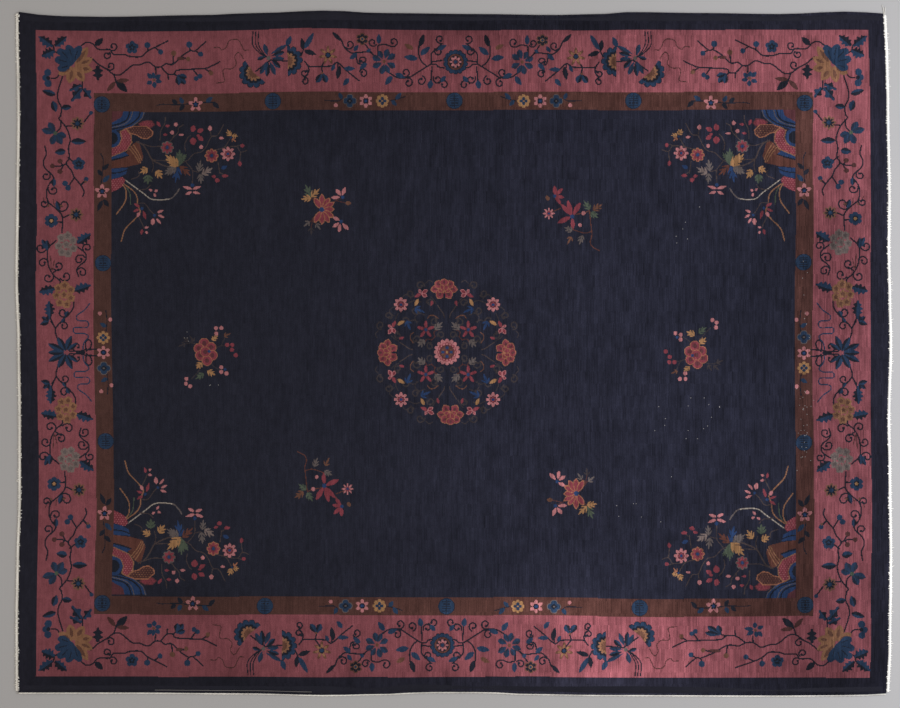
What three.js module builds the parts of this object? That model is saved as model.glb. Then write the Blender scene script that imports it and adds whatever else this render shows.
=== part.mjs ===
// A hand-knotted Chinese art deco carpet lying flat on a floor, in millimetres, +Z up.
// +X runs along the warps, from one cotton end to the other, and +Y across them.
// The pile slab, the two knotted-off cotton ends and the side cord are separate solids.
import * as THREE from 'three';
import { mergeVertices } from 'three/addons/utils/BufferGeometryUtils.js';

// Driving dimensions
const CLOTH_LENGTH = 3480;
const CLOTH_WIDTH = 2736;
const PILE_HEIGHT = 10;
const RIM_HEIGHT = 6.5;
const RIM_INSET = 7;
const SEAM_GAP = 0.3;
const END_BAND_WIDTH = 9;
const END_BAND_THICK = 4;
const STRANDS_PER_END = 140;
const STRAND_WIDTH = 9;
const STRAND_LENGTH = 7;
const STRAND_LENGTH_SPREAD = 0.35;
const STRAND_WIDTH_SPREAD = 0.25;
const STRAND_LEAN = 2.5;
const STRAND_TAPER = 0.7;
const THREAD_TAPER = 0.6;
const SIDE_CORD_DIAMETER = 7;

// Mesh fineness
const STEPS_ALONG = 40;
const STEPS_ACROSS = 32;
const SIDE_CORD_SIDES = 8;
const WELD_DISTANCE = 1e-4;

// Scatter of the hand-tied strands: the wave's stride per strand and per salt, and its gain.
const SCATTER_STRIDE = 12.9898;
const SCATTER_SALT = 78.233;
const SCATTER_GAIN = 43758.5453;

// Edge wander: `at` is the distance along the edge, from -X or from -Y, and `inset` is
// how far the cloth stops short of its longest or widest line there.
const FAR_EDGE = [
  { at: 0, inset: 5 },
  { at: 140, inset: 22 },
  { at: 360, inset: 25 },
  { at: 740, inset: 18 },
  { at: 950, inset: 10 },
  { at: 1240, inset: 0 },
  { at: 1450, inset: 10 },
  { at: 1850, inset: 14 },
  { at: 2140, inset: 18 },
  { at: 2330, inset: 14 },
  { at: 2450, inset: 6 },
  { at: 2740, inset: 10 },
  { at: 3040, inset: 14 },
  { at: 3330, inset: 4 },
  { at: 3480, inset: 12 },
];
const NEAR_EDGE = [
  { at: 0, inset: 12 },
  { at: 450, inset: 12 },
  { at: 900, inset: 9 },
  { at: 1240, inset: 2 },
  { at: 1450, inset: 6 },
  { at: 1640, inset: 14 },
  { at: 1860, inset: 14 },
  { at: 2050, inset: 6 },
  { at: 2350, inset: 2 },
  { at: 3050, inset: 0 },
  { at: 3350, inset: 2 },
  { at: 3480, inset: 8 },
];
const LEFT_EDGE = [
  { at: 0, inset: 1 },
  { at: 300, inset: 0 },
  { at: 540, inset: 4 },
  { at: 780, inset: 12 },
  { at: 1100, inset: 12 },
  { at: 1420, inset: 8 },
  { at: 1660, inset: 0 },
  { at: 1980, inset: 4 },
  { at: 2300, inset: 8 },
  { at: 2736, inset: 2 },
];
const RIGHT_EDGE = [
  { at: 0, inset: 12 },
  { at: 180, inset: 4 },
  { at: 540, inset: 0 },
  { at: 900, inset: 4 },
  { at: 1100, inset: 8 },
  { at: 1420, inset: 0 },
  { at: 1580, inset: 4 },
  { at: 1780, inset: 8 },
  { at: 1980, inset: 6 },
  { at: 2380, inset: 12 },
  { at: 2560, inset: 16 },
  { at: 2736, inset: 24 },
];

// Low swells in the cloth: centre, spread along X and Y, and rise, negative where it dips.
const SWELLS = [
  { x: -560, y: -1290, wide: 60, deep: 260, rise: 2.6 },
  { x: -330, y: -1290, wide: 55, deep: 300, rise: -1.8 },
  { x: -150, y: -1290, wide: 60, deep: 320, rise: 2.8 },
  { x: 60, y: -1290, wide: 60, deep: 260, rise: -1.6 },
  { x: 700, y: -1240, wide: 240, deep: 300, rise: 2.2 },
  { x: 1250, y: -1260, wide: 150, deep: 260, rise: -1.6 },
  { x: -1250, y: 1300, wide: 170, deep: 200, rise: -1.6 },
  { x: -550, y: 1300, wide: 190, deep: 220, rise: 2.4 },
  { x: 330, y: 1300, wide: 200, deep: 220, rise: -1.4 },
  { x: 800, y: 1300, wide: 150, deep: 200, rise: 1.8 },
  { x: -1650, y: -200, wide: 120, deep: 260, rise: 1.6 },
  { x: 1660, y: 120, wide: 110, deep: 240, rise: 1.8 },
  { x: 500, y: -300, wide: 420, deep: 480, rise: 1.2 },
];

// Longer loose threads at the cotton ends: place along the end, from -Y, and length.
const LOOSE_ENDS = {
  left: [
    { at: 240, length: 11 },
    { at: 780, length: 12 },
    { at: 1400, length: 11 },
    { at: 2370, length: 12 },
  ],
  right: [
    { at: 130, length: 13 },
    { at: 560, length: 11 },
    { at: 1620, length: 12 },
    { at: 2080, length: 11 },
    { at: 2600, length: 12 },
  ],
};

// Where each cotton end stops short of the cloth's corners, at -Y and at +Y.
const END_STOPS = {
  left: { near: 6, far: 6 },
  right: { near: 8, far: 8 },
};

// Frayed threads that stand out past the +Y tip of an end: place across the band from the
// cloth outwards, width, length along +Y, and lean outwards.
const FRAYED_TIPS = {
  left: [
    { at: 4.5, width: 6, length: 9, lean: -3 },
  ],
  right: [
    { at: 2, width: 2.4, length: 30, lean: 0 },
    { at: 5, width: 2.2, length: 46, lean: -9 },
    { at: 7.8, width: 2, length: 36, lean: -1 },
  ],
};

// Colours and surface
const NAVY_WOOL = { color: 0x22222b, roughness: 0.95, metalness: 0 };
const WHITE_COTTON = { color: 0xd8d0c2, roughness: 0.9, metalness: 0 };

// Smooth value between the rows of an edge table.
function insetAt(edge, at) {
  const last = edge.findIndex((row) => row.at >= at - WELD_DISTANCE);
  if (last <= 0) {
    return edge[0].inset;
  }
  const from = edge[last - 1];
  const to = edge[last];
  const share = (at - from.at) / (to.at - from.at);
  return from.inset + (to.inset - from.inset) * (0.5 - 0.5 * Math.cos(Math.PI * share));
}

// Point of the cloth at shares s along +X and t along +Y, pulled in from the edge by `inward`.
function clothPoint(s, t, inward = 0) {
  const along = s * CLOTH_LENGTH;
  const across = t * CLOTH_WIDTH;
  const left = -CLOTH_LENGTH / 2 + insetAt(LEFT_EDGE, across) + inward;
  const right = CLOTH_LENGTH / 2 - insetAt(RIGHT_EDGE, across) - inward;
  const near = -CLOTH_WIDTH / 2 + insetAt(NEAR_EDGE, along) + inward;
  const far = CLOTH_WIDTH / 2 - insetAt(FAR_EDGE, along) - inward;
  return new THREE.Vector2(THREE.MathUtils.lerp(left, right, s), THREE.MathUtils.lerp(near, far, t));
}

// Height of the pile above the floor.
function pileHeight(x, y) {
  let height = PILE_HEIGHT;
  for (const swell of SWELLS) {
    const u = (x - swell.x) / swell.wide;
    const v = (y - swell.y) / swell.deep;
    height += swell.rise * Math.exp(-u * u - v * v);
  }
  return height;
}

// Repeatable scatter between -1 and 1 for the i-th strand.
function scatter(i, salt) {
  const wave = Math.sin(i * SCATTER_STRIDE + salt * SCATTER_SALT) * SCATTER_GAIN;
  return 2 * (wave - Math.floor(wave)) - 1;
}

function meshFrom(name, positions, triangles, finish) {
  const geometry = new THREE.BufferGeometry();
  geometry.setAttribute('position', new THREE.Float32BufferAttribute(positions, 3));
  geometry.setIndex(triangles);
  geometry.computeVertexNormals();
  const mesh = new THREE.Mesh(geometry, new THREE.MeshStandardMaterial(finish));
  mesh.name = name;
  return mesh;
}

// Shares of the grid lines around the cloth's edge, anticlockwise from the -X -Y corner.
function edgeShares() {
  const shares = [];
  for (let i = 0; i < STEPS_ALONG; i += 1) {
    shares.push({ s: i / STEPS_ALONG, t: 0 });
  }
  for (let j = 0; j < STEPS_ACROSS; j += 1) {
    shares.push({ s: 1, t: j / STEPS_ACROSS });
  }
  for (let i = STEPS_ALONG; i > 0; i -= 1) {
    shares.push({ s: i / STEPS_ALONG, t: 1 });
  }
  for (let j = STEPS_ACROSS; j > 0; j -= 1) {
    shares.push({ s: 0, t: j / STEPS_ACROSS });
  }
  return shares;
}

// The knotted slab: flat underside, low upright rim, a soft shoulder and the swelling pile.
function pileSlab() {
  const positions = [];
  const triangles = [];
  const addPoint = (point, z) => positions.push(point.x, point.y, z) / 3 - 1;
  const addQuad = (a, b, c, d) => triangles.push(a, b, c, a, c, d);

  const shares = edgeShares();
  const outline = shares.map(({ s, t }) => clothPoint(s, t));
  const floorRing = outline.map((point) => addPoint(point, 0));
  const rimRing = outline.map((point) => addPoint(point, RIM_HEIGHT));

  const grid = [];
  for (let i = 0; i <= STEPS_ALONG; i += 1) {
    grid.push([]);
    for (let j = 0; j <= STEPS_ACROSS; j += 1) {
      const point = clothPoint(i / STEPS_ALONG, j / STEPS_ACROSS, RIM_INSET);
      grid[i].push(addPoint(point, pileHeight(point.x, point.y)));
    }
  }
  const shoulderRing = shares.map(({ s, t }) => {
    return grid[Math.round(s * STEPS_ALONG)][Math.round(t * STEPS_ACROSS)];
  });

  for (const [a, b, c] of THREE.ShapeUtils.triangulateShape(outline, [])) {
    triangles.push(floorRing[a], floorRing[c], floorRing[b]);
  }
  for (let k = 0; k < shares.length; k += 1) {
    const next = (k + 1) % shares.length;
    addQuad(floorRing[k], floorRing[next], rimRing[next], rimRing[k]);
    addQuad(rimRing[k], rimRing[next], shoulderRing[next], shoulderRing[k]);
  }
  for (let i = 0; i < STEPS_ALONG; i += 1) {
    for (let j = 0; j < STEPS_ACROSS; j += 1) {
      addQuad(grid[i][j], grid[i + 1][j], grid[i + 1][j + 1], grid[i][j + 1]);
    }
  }
  return meshFrom('pile_slab', positions, triangles, NAVY_WOOL);
}

// X of the cloth's edge at one end; `out` is -1 at the left end and 1 at the right end.
function endLine(out, y) {
  const step = CLOTH_WIDTH / STEPS_ACROSS;
  const share = (y + CLOTH_WIDTH / 2) / step;
  const low = THREE.MathUtils.clamp(Math.floor(share), 0, STEPS_ACROSS - 1);
  const s = out < 0 ? 0 : 1;
  const from = clothPoint(s, low / STEPS_ACROSS);
  const to = clothPoint(s, (low + 1) / STEPS_ACROSS);
  return THREE.MathUtils.mapLinear(y, from.y, to.y, from.x, to.x);
}

// Length of strand i, whose root stands at distance `at` from the -Y corner.
function strandLength(side, i, at, pitch) {
  const loose = LOOSE_ENDS[side].find((row) => Math.abs(row.at - at) < pitch / 2);
  return loose ? loose.length : STRAND_LENGTH * (1 + STRAND_LENGTH_SPREAD * scatter(i, 1));
}

// One cotton end: a narrow woven band along the cloth's edge with short strands outside it.
function cottonEnd(side, out) {
  const near = -CLOTH_WIDTH / 2 + insetAt(NEAR_EDGE, out < 0 ? 0 : CLOTH_LENGTH) + END_STOPS[side].near;
  const far = CLOTH_WIDTH / 2 - insetAt(FAR_EDGE, out < 0 ? 0 : CLOTH_LENGTH) - END_STOPS[side].far;
  const pitch = (far - near) / STRANDS_PER_END;
  const inner = (y) => endLine(out, y) + out * SEAM_GAP;
  const outer = (y) => inner(y) + out * END_BAND_WIDTH;

  const shape = new THREE.Shape();
  shape.moveTo(inner(near), near);
  shape.lineTo(outer(near), near);
  for (let i = 0; i < STRANDS_PER_END; i += 1) {
    const y = near + (i + 0.5) * pitch;
    const half = (STRAND_WIDTH / 2) * (1 + STRAND_WIDTH_SPREAD * scatter(i, 2));
    const lean = STRAND_LEAN * scatter(i, 3);
    const tip = outer(y) + out * strandLength(side, i, y + CLOTH_WIDTH / 2, pitch);
    shape.lineTo(outer(y - half), y - half);
    shape.lineTo(tip, y - STRAND_TAPER * half + lean);
    shape.lineTo(tip, y + STRAND_TAPER * half + lean);
    shape.lineTo(outer(y + half), y + half);
  }
  shape.lineTo(outer(far), far);
  for (const thread of FRAYED_TIPS[side].toReversed()) {
    const x = inner(far) + out * thread.at;
    const half = (out * thread.width) / 2;
    const tip = x + out * thread.lean;
    shape.lineTo(x + half, far);
    shape.lineTo(tip + THREAD_TAPER * half, far + thread.length);
    shape.lineTo(tip - THREAD_TAPER * half, far + thread.length);
    shape.lineTo(x - half, far);
  }
  shape.lineTo(inner(far), far);
  for (let j = STEPS_ACROSS - 1; j > 0; j -= 1) {
    const y = clothPoint(out < 0 ? 0 : 1, j / STEPS_ACROSS).y;
    shape.lineTo(inner(y), y);
  }
  shape.closePath();

  const solid = new THREE.ExtrudeGeometry(shape, { depth: END_BAND_THICK, bevelEnabled: false });
  solid.deleteAttribute('normal');
  solid.deleteAttribute('uv');
  const geometry = mergeVertices(solid, WELD_DISTANCE);
  geometry.computeVertexNormals();
  const mesh = new THREE.Mesh(geometry, new THREE.MeshStandardMaterial(WHITE_COTTON));
  mesh.name = `cotton_end_${side}`;
  return mesh;
}

// The white cord overcast along the -Y side: a ring of sides carried along the cloth's edge.
function sideCord() {
  const radius = SIDE_CORD_DIAMETER / 2;
  const seat = radius * Math.cos(Math.PI / SIDE_CORD_SIDES);
  const positions = [];
  const triangles = [];
  const index = (i, k) => i * SIDE_CORD_SIDES + (k % SIDE_CORD_SIDES);
  for (let i = 0; i <= STEPS_ALONG; i += 1) {
    const edge = clothPoint(i / STEPS_ALONG, 0);
    const y = edge.y - SEAM_GAP - radius;
    for (let k = 0; k < SIDE_CORD_SIDES; k += 1) {
      const angle = (2 * Math.PI * (k + 0.5)) / SIDE_CORD_SIDES;
      positions.push(edge.x, y + radius * Math.cos(angle), seat + radius * Math.sin(angle));
    }
  }
  for (let i = 0; i < STEPS_ALONG; i += 1) {
    for (let k = 0; k < SIDE_CORD_SIDES; k += 1) {
      triangles.push(index(i, k), index(i + 1, k + 1), index(i + 1, k));
      triangles.push(index(i, k), index(i, k + 1), index(i + 1, k + 1));
    }
  }
  for (let k = 1; k < SIDE_CORD_SIDES - 1; k += 1) {
    triangles.push(index(0, 0), index(0, k + 1), index(0, k));
    triangles.push(index(STEPS_ALONG, 0), index(STEPS_ALONG, k), index(STEPS_ALONG, k + 1));
  }
  return meshFrom('side_cord', positions, triangles, WHITE_COTTON);
}

const rug = new THREE.Group();
rug.add(pileSlab());
rug.add(cottonEnd('left', -1));
rug.add(cottonEnd('right', 1));
rug.add(sideCord());

// The origin is the middle of the underside.
const box = new THREE.Box3().setFromObject(rug);
const middle = box.getCenter(new THREE.Vector3());
rug.position.set(-middle.x, -middle.y, -box.min.z);
rug.updateMatrixWorld(true);

export default rug;
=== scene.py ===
"""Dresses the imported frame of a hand-knotted Chinese art deco carpet.

The wool pile is woven from a knot chart: a grid of knots 2.7 mm apart, on which the borders,
branches, flowers, rocks and sprigs are drawn as leaves, stems, curls and blooms. Each weft row
of the chart becomes one line of pile, cut into a strip wherever the yarn changes. The cloth's
outline and its low swells are taken from the frame's own pile slab.
"""

import logging
from collections.abc import Callable, Iterable, Sequence
from dataclasses import dataclass, field
from enum import Enum, IntEnum

import bpy
import numpy as np
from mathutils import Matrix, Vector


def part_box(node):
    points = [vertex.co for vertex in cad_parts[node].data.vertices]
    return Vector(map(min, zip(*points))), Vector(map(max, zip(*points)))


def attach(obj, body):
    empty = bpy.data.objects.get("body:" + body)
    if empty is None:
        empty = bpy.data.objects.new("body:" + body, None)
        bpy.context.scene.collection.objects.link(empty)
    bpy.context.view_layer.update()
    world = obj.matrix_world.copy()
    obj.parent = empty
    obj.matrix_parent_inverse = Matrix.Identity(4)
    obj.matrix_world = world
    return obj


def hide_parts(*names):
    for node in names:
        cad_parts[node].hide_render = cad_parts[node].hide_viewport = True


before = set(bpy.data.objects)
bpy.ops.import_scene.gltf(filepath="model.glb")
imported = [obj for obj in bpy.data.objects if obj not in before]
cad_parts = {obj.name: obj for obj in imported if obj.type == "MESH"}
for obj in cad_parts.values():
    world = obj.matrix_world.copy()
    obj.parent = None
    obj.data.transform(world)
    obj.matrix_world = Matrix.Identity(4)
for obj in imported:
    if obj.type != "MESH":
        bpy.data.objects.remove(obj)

LOG = logging.getLogger("carpet")

# The chart is counted in squares of 4 mm from the carpet's centre.
SQUARE = 0.004
HALF_X = 435.0
HALF_Y = 342.0
KNOTS_PER_SQUARE = 1.5
KNOTS_X = round(2 * HALF_X * KNOTS_PER_SQUARE)
KNOTS_Y = round(2 * HALF_Y * KNOTS_PER_SQUARE)
LONGEST_RUN = 18

Point = tuple[float, float]
Array = np.ndarray

# No slip anywhere: an own X and the move there.
EVEN: tuple[Point, ...] = ((0.0, 0.0),)


class Yarn(IntEnum):
    """The dyed wool yarns, and the bare cotton that shows where knots are worn out.

    They are numbered in order, and each keeps its display colour under plain light, 0 to 255.
    """

    colour: tuple[int, ...]

    def __new__(cls, *colour: int) -> "Yarn":
        """Numbers a yarn and keeps its colour.

        Args:
            colour: Red, green and blue.

        Returns:
            The yarn.
        """
        number = len(cls.__members__)
        made = int.__new__(cls, number)
        made._value_ = number
        made.colour = colour
        return made

    GUARD = 28, 27, 34
    ROSE = 107, 58, 62
    BROWN = 63, 41, 36
    NAVY = 29, 29, 37
    BLUE = 31, 44, 62
    INK = 25, 26, 33
    GOLD = 128, 93, 62
    OCHRE = 122, 78, 58
    PINK = 140, 88, 88
    RED = 102, 46, 52
    MAROON = 71, 39, 42
    GREY = 77, 68, 65
    CREAM = 138, 127, 114
    GREEN = 60, 66, 54
    OLIVE = 80, 53, 42
    RUST = 62, 38, 36
    COTTON = 128, 123, 118
    STEEL = 33, 38, 50
    AZURE = 32, 47, 75
    TAN = 110, 76, 55
    TWIG = 57, 47, 45
    CLAY = 74, 44, 37
    ASH = 95, 81, 76
    SCROLL = 47, 41, 42
    SAND = 92, 63, 50


class Region(IntEnum):
    """The parts of the pile, each a piece of its own."""

    GUARD = 0
    BORDER_FAR = 1
    BORDER_NEAR = 2
    BORDER_LEFT = 3
    BORDER_RIGHT = 4
    BAND = 5
    FIELD = 6


class Slot(str, Enum):
    """The record's material slots."""

    WOOL = "wool_pile"
    COTTON = "white_cotton"


def linear(colour: Sequence[float]) -> Array:
    """Turns a display colour, 0 to 255, into linear light, 0 to 1."""
    share = np.asarray(colour, float) / 255
    return np.where(share <= 0.04045, share / 12.92, ((share + 0.055) / 1.055) ** 2.4)


def cloud(x: Array, y: Array, cell_x: float, cell_y: float, seed: int) -> Array:
    """Smooth scatter: a lattice of random values, eased between its points.

    Args:
        x: Places along X, in squares.
        y: Places along Y, in squares.
        cell_x: Lattice step along X, in squares.
        cell_y: Lattice step along Y, in squares.
        seed: Which lattice.

    Returns:
        Values between -1 and 1, in the shape of x and y together.
    """
    columns = int(2.4 * HALF_X / cell_x) + 3
    rows = int(2.4 * HALF_Y / cell_y) + 3
    lattice = np.random.default_rng(seed).uniform(-1, 1, (columns, rows))
    u = np.clip((x + 1.2 * HALF_X) / cell_x, 0, columns - 1.001)
    v = np.clip((y + 1.2 * HALF_Y) / cell_y, 0, rows - 1.001)
    i, j = u.astype(int), v.astype(int)
    p, q = u - i, v - j
    p, q = p * p * (3 - 2 * p), q * q * (3 - 2 * q)
    low = lattice[i, j] * (1 - p) + lattice[i + 1, j] * p
    high = lattice[i, j + 1] * (1 - p) + lattice[i + 1, j + 1] * p
    return low * (1 - q) + high * q


@dataclass(frozen=True)
class Placing:
    """How a drawn motif is set on the chart: mirrored, then moved.

    Args:
        flip_x: 1, or -1 to mirror it left to right.
        flip_y: 1, or -1 to mirror it top to bottom.
        swap: Whether X and Y change places first.
        x: Move along X, in squares.
        y: Move along Y, in squares.
        drift: Own X and further move along X of places where the weaver's count slipped.
    """

    flip_x: int = 1
    flip_y: int = 1
    swap: bool = False
    x: float = 0.0
    y: float = 0.0
    drift: Sequence[Point] = EVEN

    @property
    def hand(self) -> int:
        """1 where the motif keeps its hand and -1 where it is mirrored."""
        return self.flip_x * self.flip_y * (-1 if self.swap else 1)

    def points(self, points: Sequence[Point]) -> Array:
        """Places points.

        Args:
            points: The motif's own points, in squares.

        Returns:
            The points on the chart, one per row.
        """
        own = np.asarray(points, float).reshape(-1, 2)
        if self.swap:
            own = own[:, ::-1]
        slip = np.interp(own[:, 0], *zip(*self.drift))
        placed = own * (self.flip_x, self.flip_y) + (self.x, self.y)
        return placed + np.column_stack([slip, 0 * slip])


class KnotChart:
    """The weaver's chart: one yarn for every knot."""

    def __init__(self) -> None:
        """Starts with the plain guard all over."""
        self.yarn = np.full((KNOTS_X, KNOTS_Y), int(Yarn.GUARD), np.uint8)
        self.region = np.full((KNOTS_X, KNOTS_Y), int(Region.GUARD), np.uint8)
        self.x = (np.arange(KNOTS_X) + 0.5) / KNOTS_PER_SQUARE - HALF_X
        self.y = (np.arange(KNOTS_Y) + 0.5) / KNOTS_PER_SQUARE - HALF_Y

    def window(self, low: Array, high: Array) -> tuple[slice, slice, Array, Array]:
        """Finds the knots in a box.

        Args:
            low: Lowest corner, in squares.
            high: Highest corner, in squares.

        Returns:
            The box's two index ranges and its knots' X and Y.
        """
        first = np.floor((low + (HALF_X, HALF_Y)) * KNOTS_PER_SQUARE).astype(int)
        last = np.ceil((high + (HALF_X, HALF_Y)) * KNOTS_PER_SQUARE).astype(int)
        first = np.clip(first, 0, (KNOTS_X, KNOTS_Y))
        last = np.clip(last, first, (KNOTS_X, KNOTS_Y))
        along, across = slice(first[0], last[0]), slice(first[1], last[1])
        x, y = np.meshgrid(self.x[along], self.y[across], indexing="ij")
        return along, across, x, y

    def fill(
        self, low: Array, high: Array, inside: Callable[[Array, Array], Array], yarn: Yarn
    ) -> None:
        """Ties the knots of a form.

        Args:
            low: Lowest corner of a box round it, in squares.
            high: Highest corner.
            inside: Gives True for the X and Y that are in the form.
            yarn: Its yarn.
        """
        along, across, x, y = self.window(low, high)
        if x.size:
            part = self.yarn[along, across]
            part[inside(x, y)] = int(yarn)

    def stamp(self, line: Array, radius: float, yarn: Yarn) -> None:
        """Ties the knots within a radius of a fine row of points.

        Args:
            line: Points close together, in squares, one per row.
            radius: Reach about each point, in squares.
            yarn: The yarn.
        """
        reach = int(np.ceil(radius * KNOTS_PER_SQUARE)) + 1
        offsets = np.arange(-reach, reach + 1)
        knot = np.floor((line + (HALF_X, HALF_Y)) * KNOTS_PER_SQUARE).astype(int)
        i = knot[:, 0, None, None] + offsets[None, :, None] + 0 * offsets[None, None, :]
        j = knot[:, 1, None, None] + offsets[None, None, :] + 0 * offsets[None, :, None]
        x = (i + 0.5) / KNOTS_PER_SQUARE - HALF_X
        y = (j + 0.5) / KNOTS_PER_SQUARE - HALF_Y
        near = np.hypot(x - line[:, 0, None, None], y - line[:, 1, None, None]) <= radius
        near &= (i >= 0) & (i < KNOTS_X) & (j >= 0) & (j < KNOTS_Y)
        self.yarn[i[near], j[near]] = int(yarn)


def smooth_line(points: Array, spacing: float = 0.3) -> Array:
    """Carries an even curve through points, each span a cubic that leaves along its neighbours.

    Args:
        points: At least two points, one per row.
        spacing: Distance between the points returned, in squares.

    Returns:
        The curve's points.
    """
    ends = np.vstack([2 * points[:1] - points[1:2], points, 2 * points[-1:] - points[-2:-1]])
    spans = []
    for before, start, stop, after in zip(ends, ends[1:], ends[2:], ends[3:]):
        count = max(2, int(np.hypot(*(stop - start)) / spacing))
        u = np.linspace(0, 1, count, endpoint=False)[:, None]
        bend = 2 * before - 5 * start + 4 * stop - after
        twist = 3 * (start - stop) + after - before
        spans.append(start + 0.5 * u * (stop - before + u * (bend + u * twist)))
    return np.vstack([*spans, points[-1:]])


@dataclass(frozen=True)
class Motif:
    """Anything drawn on the chart."""

    def draw(self, chart: KnotChart, placing: Placing) -> None:
        """Draws the motif.

        Args:
            chart: The chart to draw on.
            placing: How it is set there.
        """
        raise NotImplementedError


@dataclass(frozen=True)
class Leaf(Motif):
    """A leaf or petal. Its half width is a full sine hump from base to tip, waved where it is lobed.

    Args:
        base: Where it leaves its stem.
        tip: Its far end.
        width: Greatest width, in squares.
        yarn: Its yarn.
        shade: Yarn of one half, or None.
        lobes: Notches along each side.
        swell: Under 1 is widest near the base and over 1 near the tip.
    """

    base: Point
    tip: Point
    width: float
    yarn: Yarn
    shade: Yarn | None = None
    lobes: int = 0
    swell: float = 0.85

    # The power that fills out the hump, the notches' depth at most and in all, and where the shade begins.
    FULLNESS = 0.75
    DEEPEST_NOTCH = 0.3
    NOTCHES = 0.84
    SHADE_FROM = 0.06

    def draw(self, chart: KnotChart, placing: Placing) -> None:
        """Draws the leaf and then its shaded half.

        Args:
            chart: The chart to draw on.
            placing: How it is set there.
        """
        base, tip = placing.points([self.base, self.tip])
        length = float(np.hypot(*(tip - base)))
        along = (tip - base) / length
        side = placing.hand * np.array([-along[1], along[0]])

        def inside(x: Array, y: Array, lowest: float = -np.inf) -> Array:
            """True for knots in the leaf whose sideways place is over the lowest one."""
            u = np.clip(((x - base[0]) * along[0] + (y - base[1]) * along[1]) / length, 0, 1)
            v = (x - base[0]) * side[0] + (y - base[1]) * side[1]
            half = 0.5 * self.width * np.abs(np.sin(np.pi * u**self.swell)) ** self.FULLNESS
            if self.lobes:
                notch = min(self.DEEPEST_NOTCH, self.NOTCHES / self.lobes)
                half = half * (1 - notch + notch * np.cos(2 * np.pi * self.lobes * u))
            return (np.abs(v) < half) & (v > lowest) & (u > 0) & (u < 1)

        low = np.minimum(base, tip) - self.width
        high = np.maximum(base, tip) + self.width
        chart.fill(low, high, inside, self.yarn)
        if self.shade is not None:
            shade_from = self.SHADE_FROM * self.width
            chart.fill(low, high, lambda x, y: inside(x, y, shade_from), self.shade)


@dataclass(frozen=True)
class Ring:
    """One colour of a bloom, out to a scalloped edge.

    Args:
        radius: Reach of its petals, in squares.
        yarn: Its yarn.
        petals: Number of petals, or 0 for a round edge.
        depth: How far the edge dips between petals, as a share of the radius.
        point: Under 1 for round petals and over 1 for pointed ones.
    """

    radius: float
    yarn: Yarn
    petals: int = 0
    depth: float = 0.0
    point: float = 0.55


@dataclass(frozen=True)
class Bloom(Motif):
    """A flower or roundel seen from above, or from the side where it faces a point.

    The edge of each ring stands at its radius on the line of each petal and dips between them,
    by a power of the cosine of half the petals' angle.

    Args:
        at: Its centre.
        rings: Its colours, widest first.
        toward: The point a flower in profile faces, or None for a whole one.
        spread: Half the angle a flower in profile opens to, in degrees.
    """

    at: Point
    rings: Sequence[Ring]
    toward: Point | None = None
    spread: float = 105.0

    def draw(self, chart: KnotChart, placing: Placing) -> None:
        """Draws the rings from the widest in.

        Args:
            chart: The chart to draw on.
            placing: How it is set there.
        """
        centre = placing.points([self.at])[0]
        facing = np.pi / 2
        if self.toward is not None:
            aim = placing.points([self.toward])[0] - centre
            facing = float(np.arctan2(aim[1], aim[0]))
        for ring in self.rings:

            def inside(x: Array, y: Array, ring: Ring = ring) -> Array:
                """True for knots inside the ring's scalloped edge."""
                turn = np.arctan2(y - centre[1], x - centre[0]) - facing
                petal = np.abs(np.cos(0.5 * ring.petals * turn)) ** ring.point
                edge = ring.radius * (1 - ring.depth * (1 - petal))
                near = np.hypot(x - centre[0], y - centre[1]) < edge
                if self.toward is None:
                    return near
                return near & (np.cos(turn) > np.cos(np.radians(self.spread)))

            chart.fill(centre - ring.radius, centre + ring.radius, inside, ring.yarn)


@dataclass(frozen=True)
class Stem(Motif):
    """A stem, blade or ribbon through points.

    Args:
        points: Points along it.
        width: Its width, in squares.
        yarn: Its yarn.
    """

    points: Sequence[Point]
    width: float
    yarn: Yarn

    def draw(self, chart: KnotChart, placing: Placing) -> None:
        """Draws the line through the placed points."""
        chart.stamp(smooth_line(placing.points(self.points)), self.width / 2, self.yarn)


@dataclass(frozen=True)
class Curl(Motif):
    """A hook that winds in on its centre from the point where it leaves its stem.

    Its radius falls fast at first and then slowly with the angle, to an open eye.

    Args:
        at: Its centre.
        joins: The point on the stem.
        yarn: Its yarn.
        hand: 1 to wind anticlockwise and -1 clockwise.
        turns: How often it goes round.
        width: Width of its line, in squares.
        eye: Radius at its end, in squares.
    """

    at: Point
    joins: Point
    yarn: Yarn
    hand: int = 1
    turns: float = 1.0
    width: float = 1.5
    eye: float = 2.1

    # Points along the hook, how fast it winds in, and the radius of its bead as a share of its line.
    STEPS = 60
    FALL = 1.8
    BEAD = 0.85

    def draw(self, chart: KnotChart, placing: Placing) -> None:
        """Draws the hook and the bead at its end.

        Args:
            chart: The chart to draw on.
            placing: How it is set there.
        """
        centre, start = placing.points([self.at, self.joins])
        reach = float(np.hypot(*(start - centre)))
        first = np.arctan2(*(start - centre)[::-1])
        share = np.linspace(0, 1, self.STEPS)
        angle = first + placing.hand * self.hand * 2 * np.pi * self.turns * share
        radius = self.eye + (reach - self.eye) * (1 - share) ** self.FALL
        line = centre + radius[:, None] * np.column_stack([np.cos(angle), np.sin(angle)])
        chart.stamp(line, self.width / 2, self.yarn)
        chart.stamp(line[-1:], self.BEAD * self.width, self.yarn)


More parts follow.
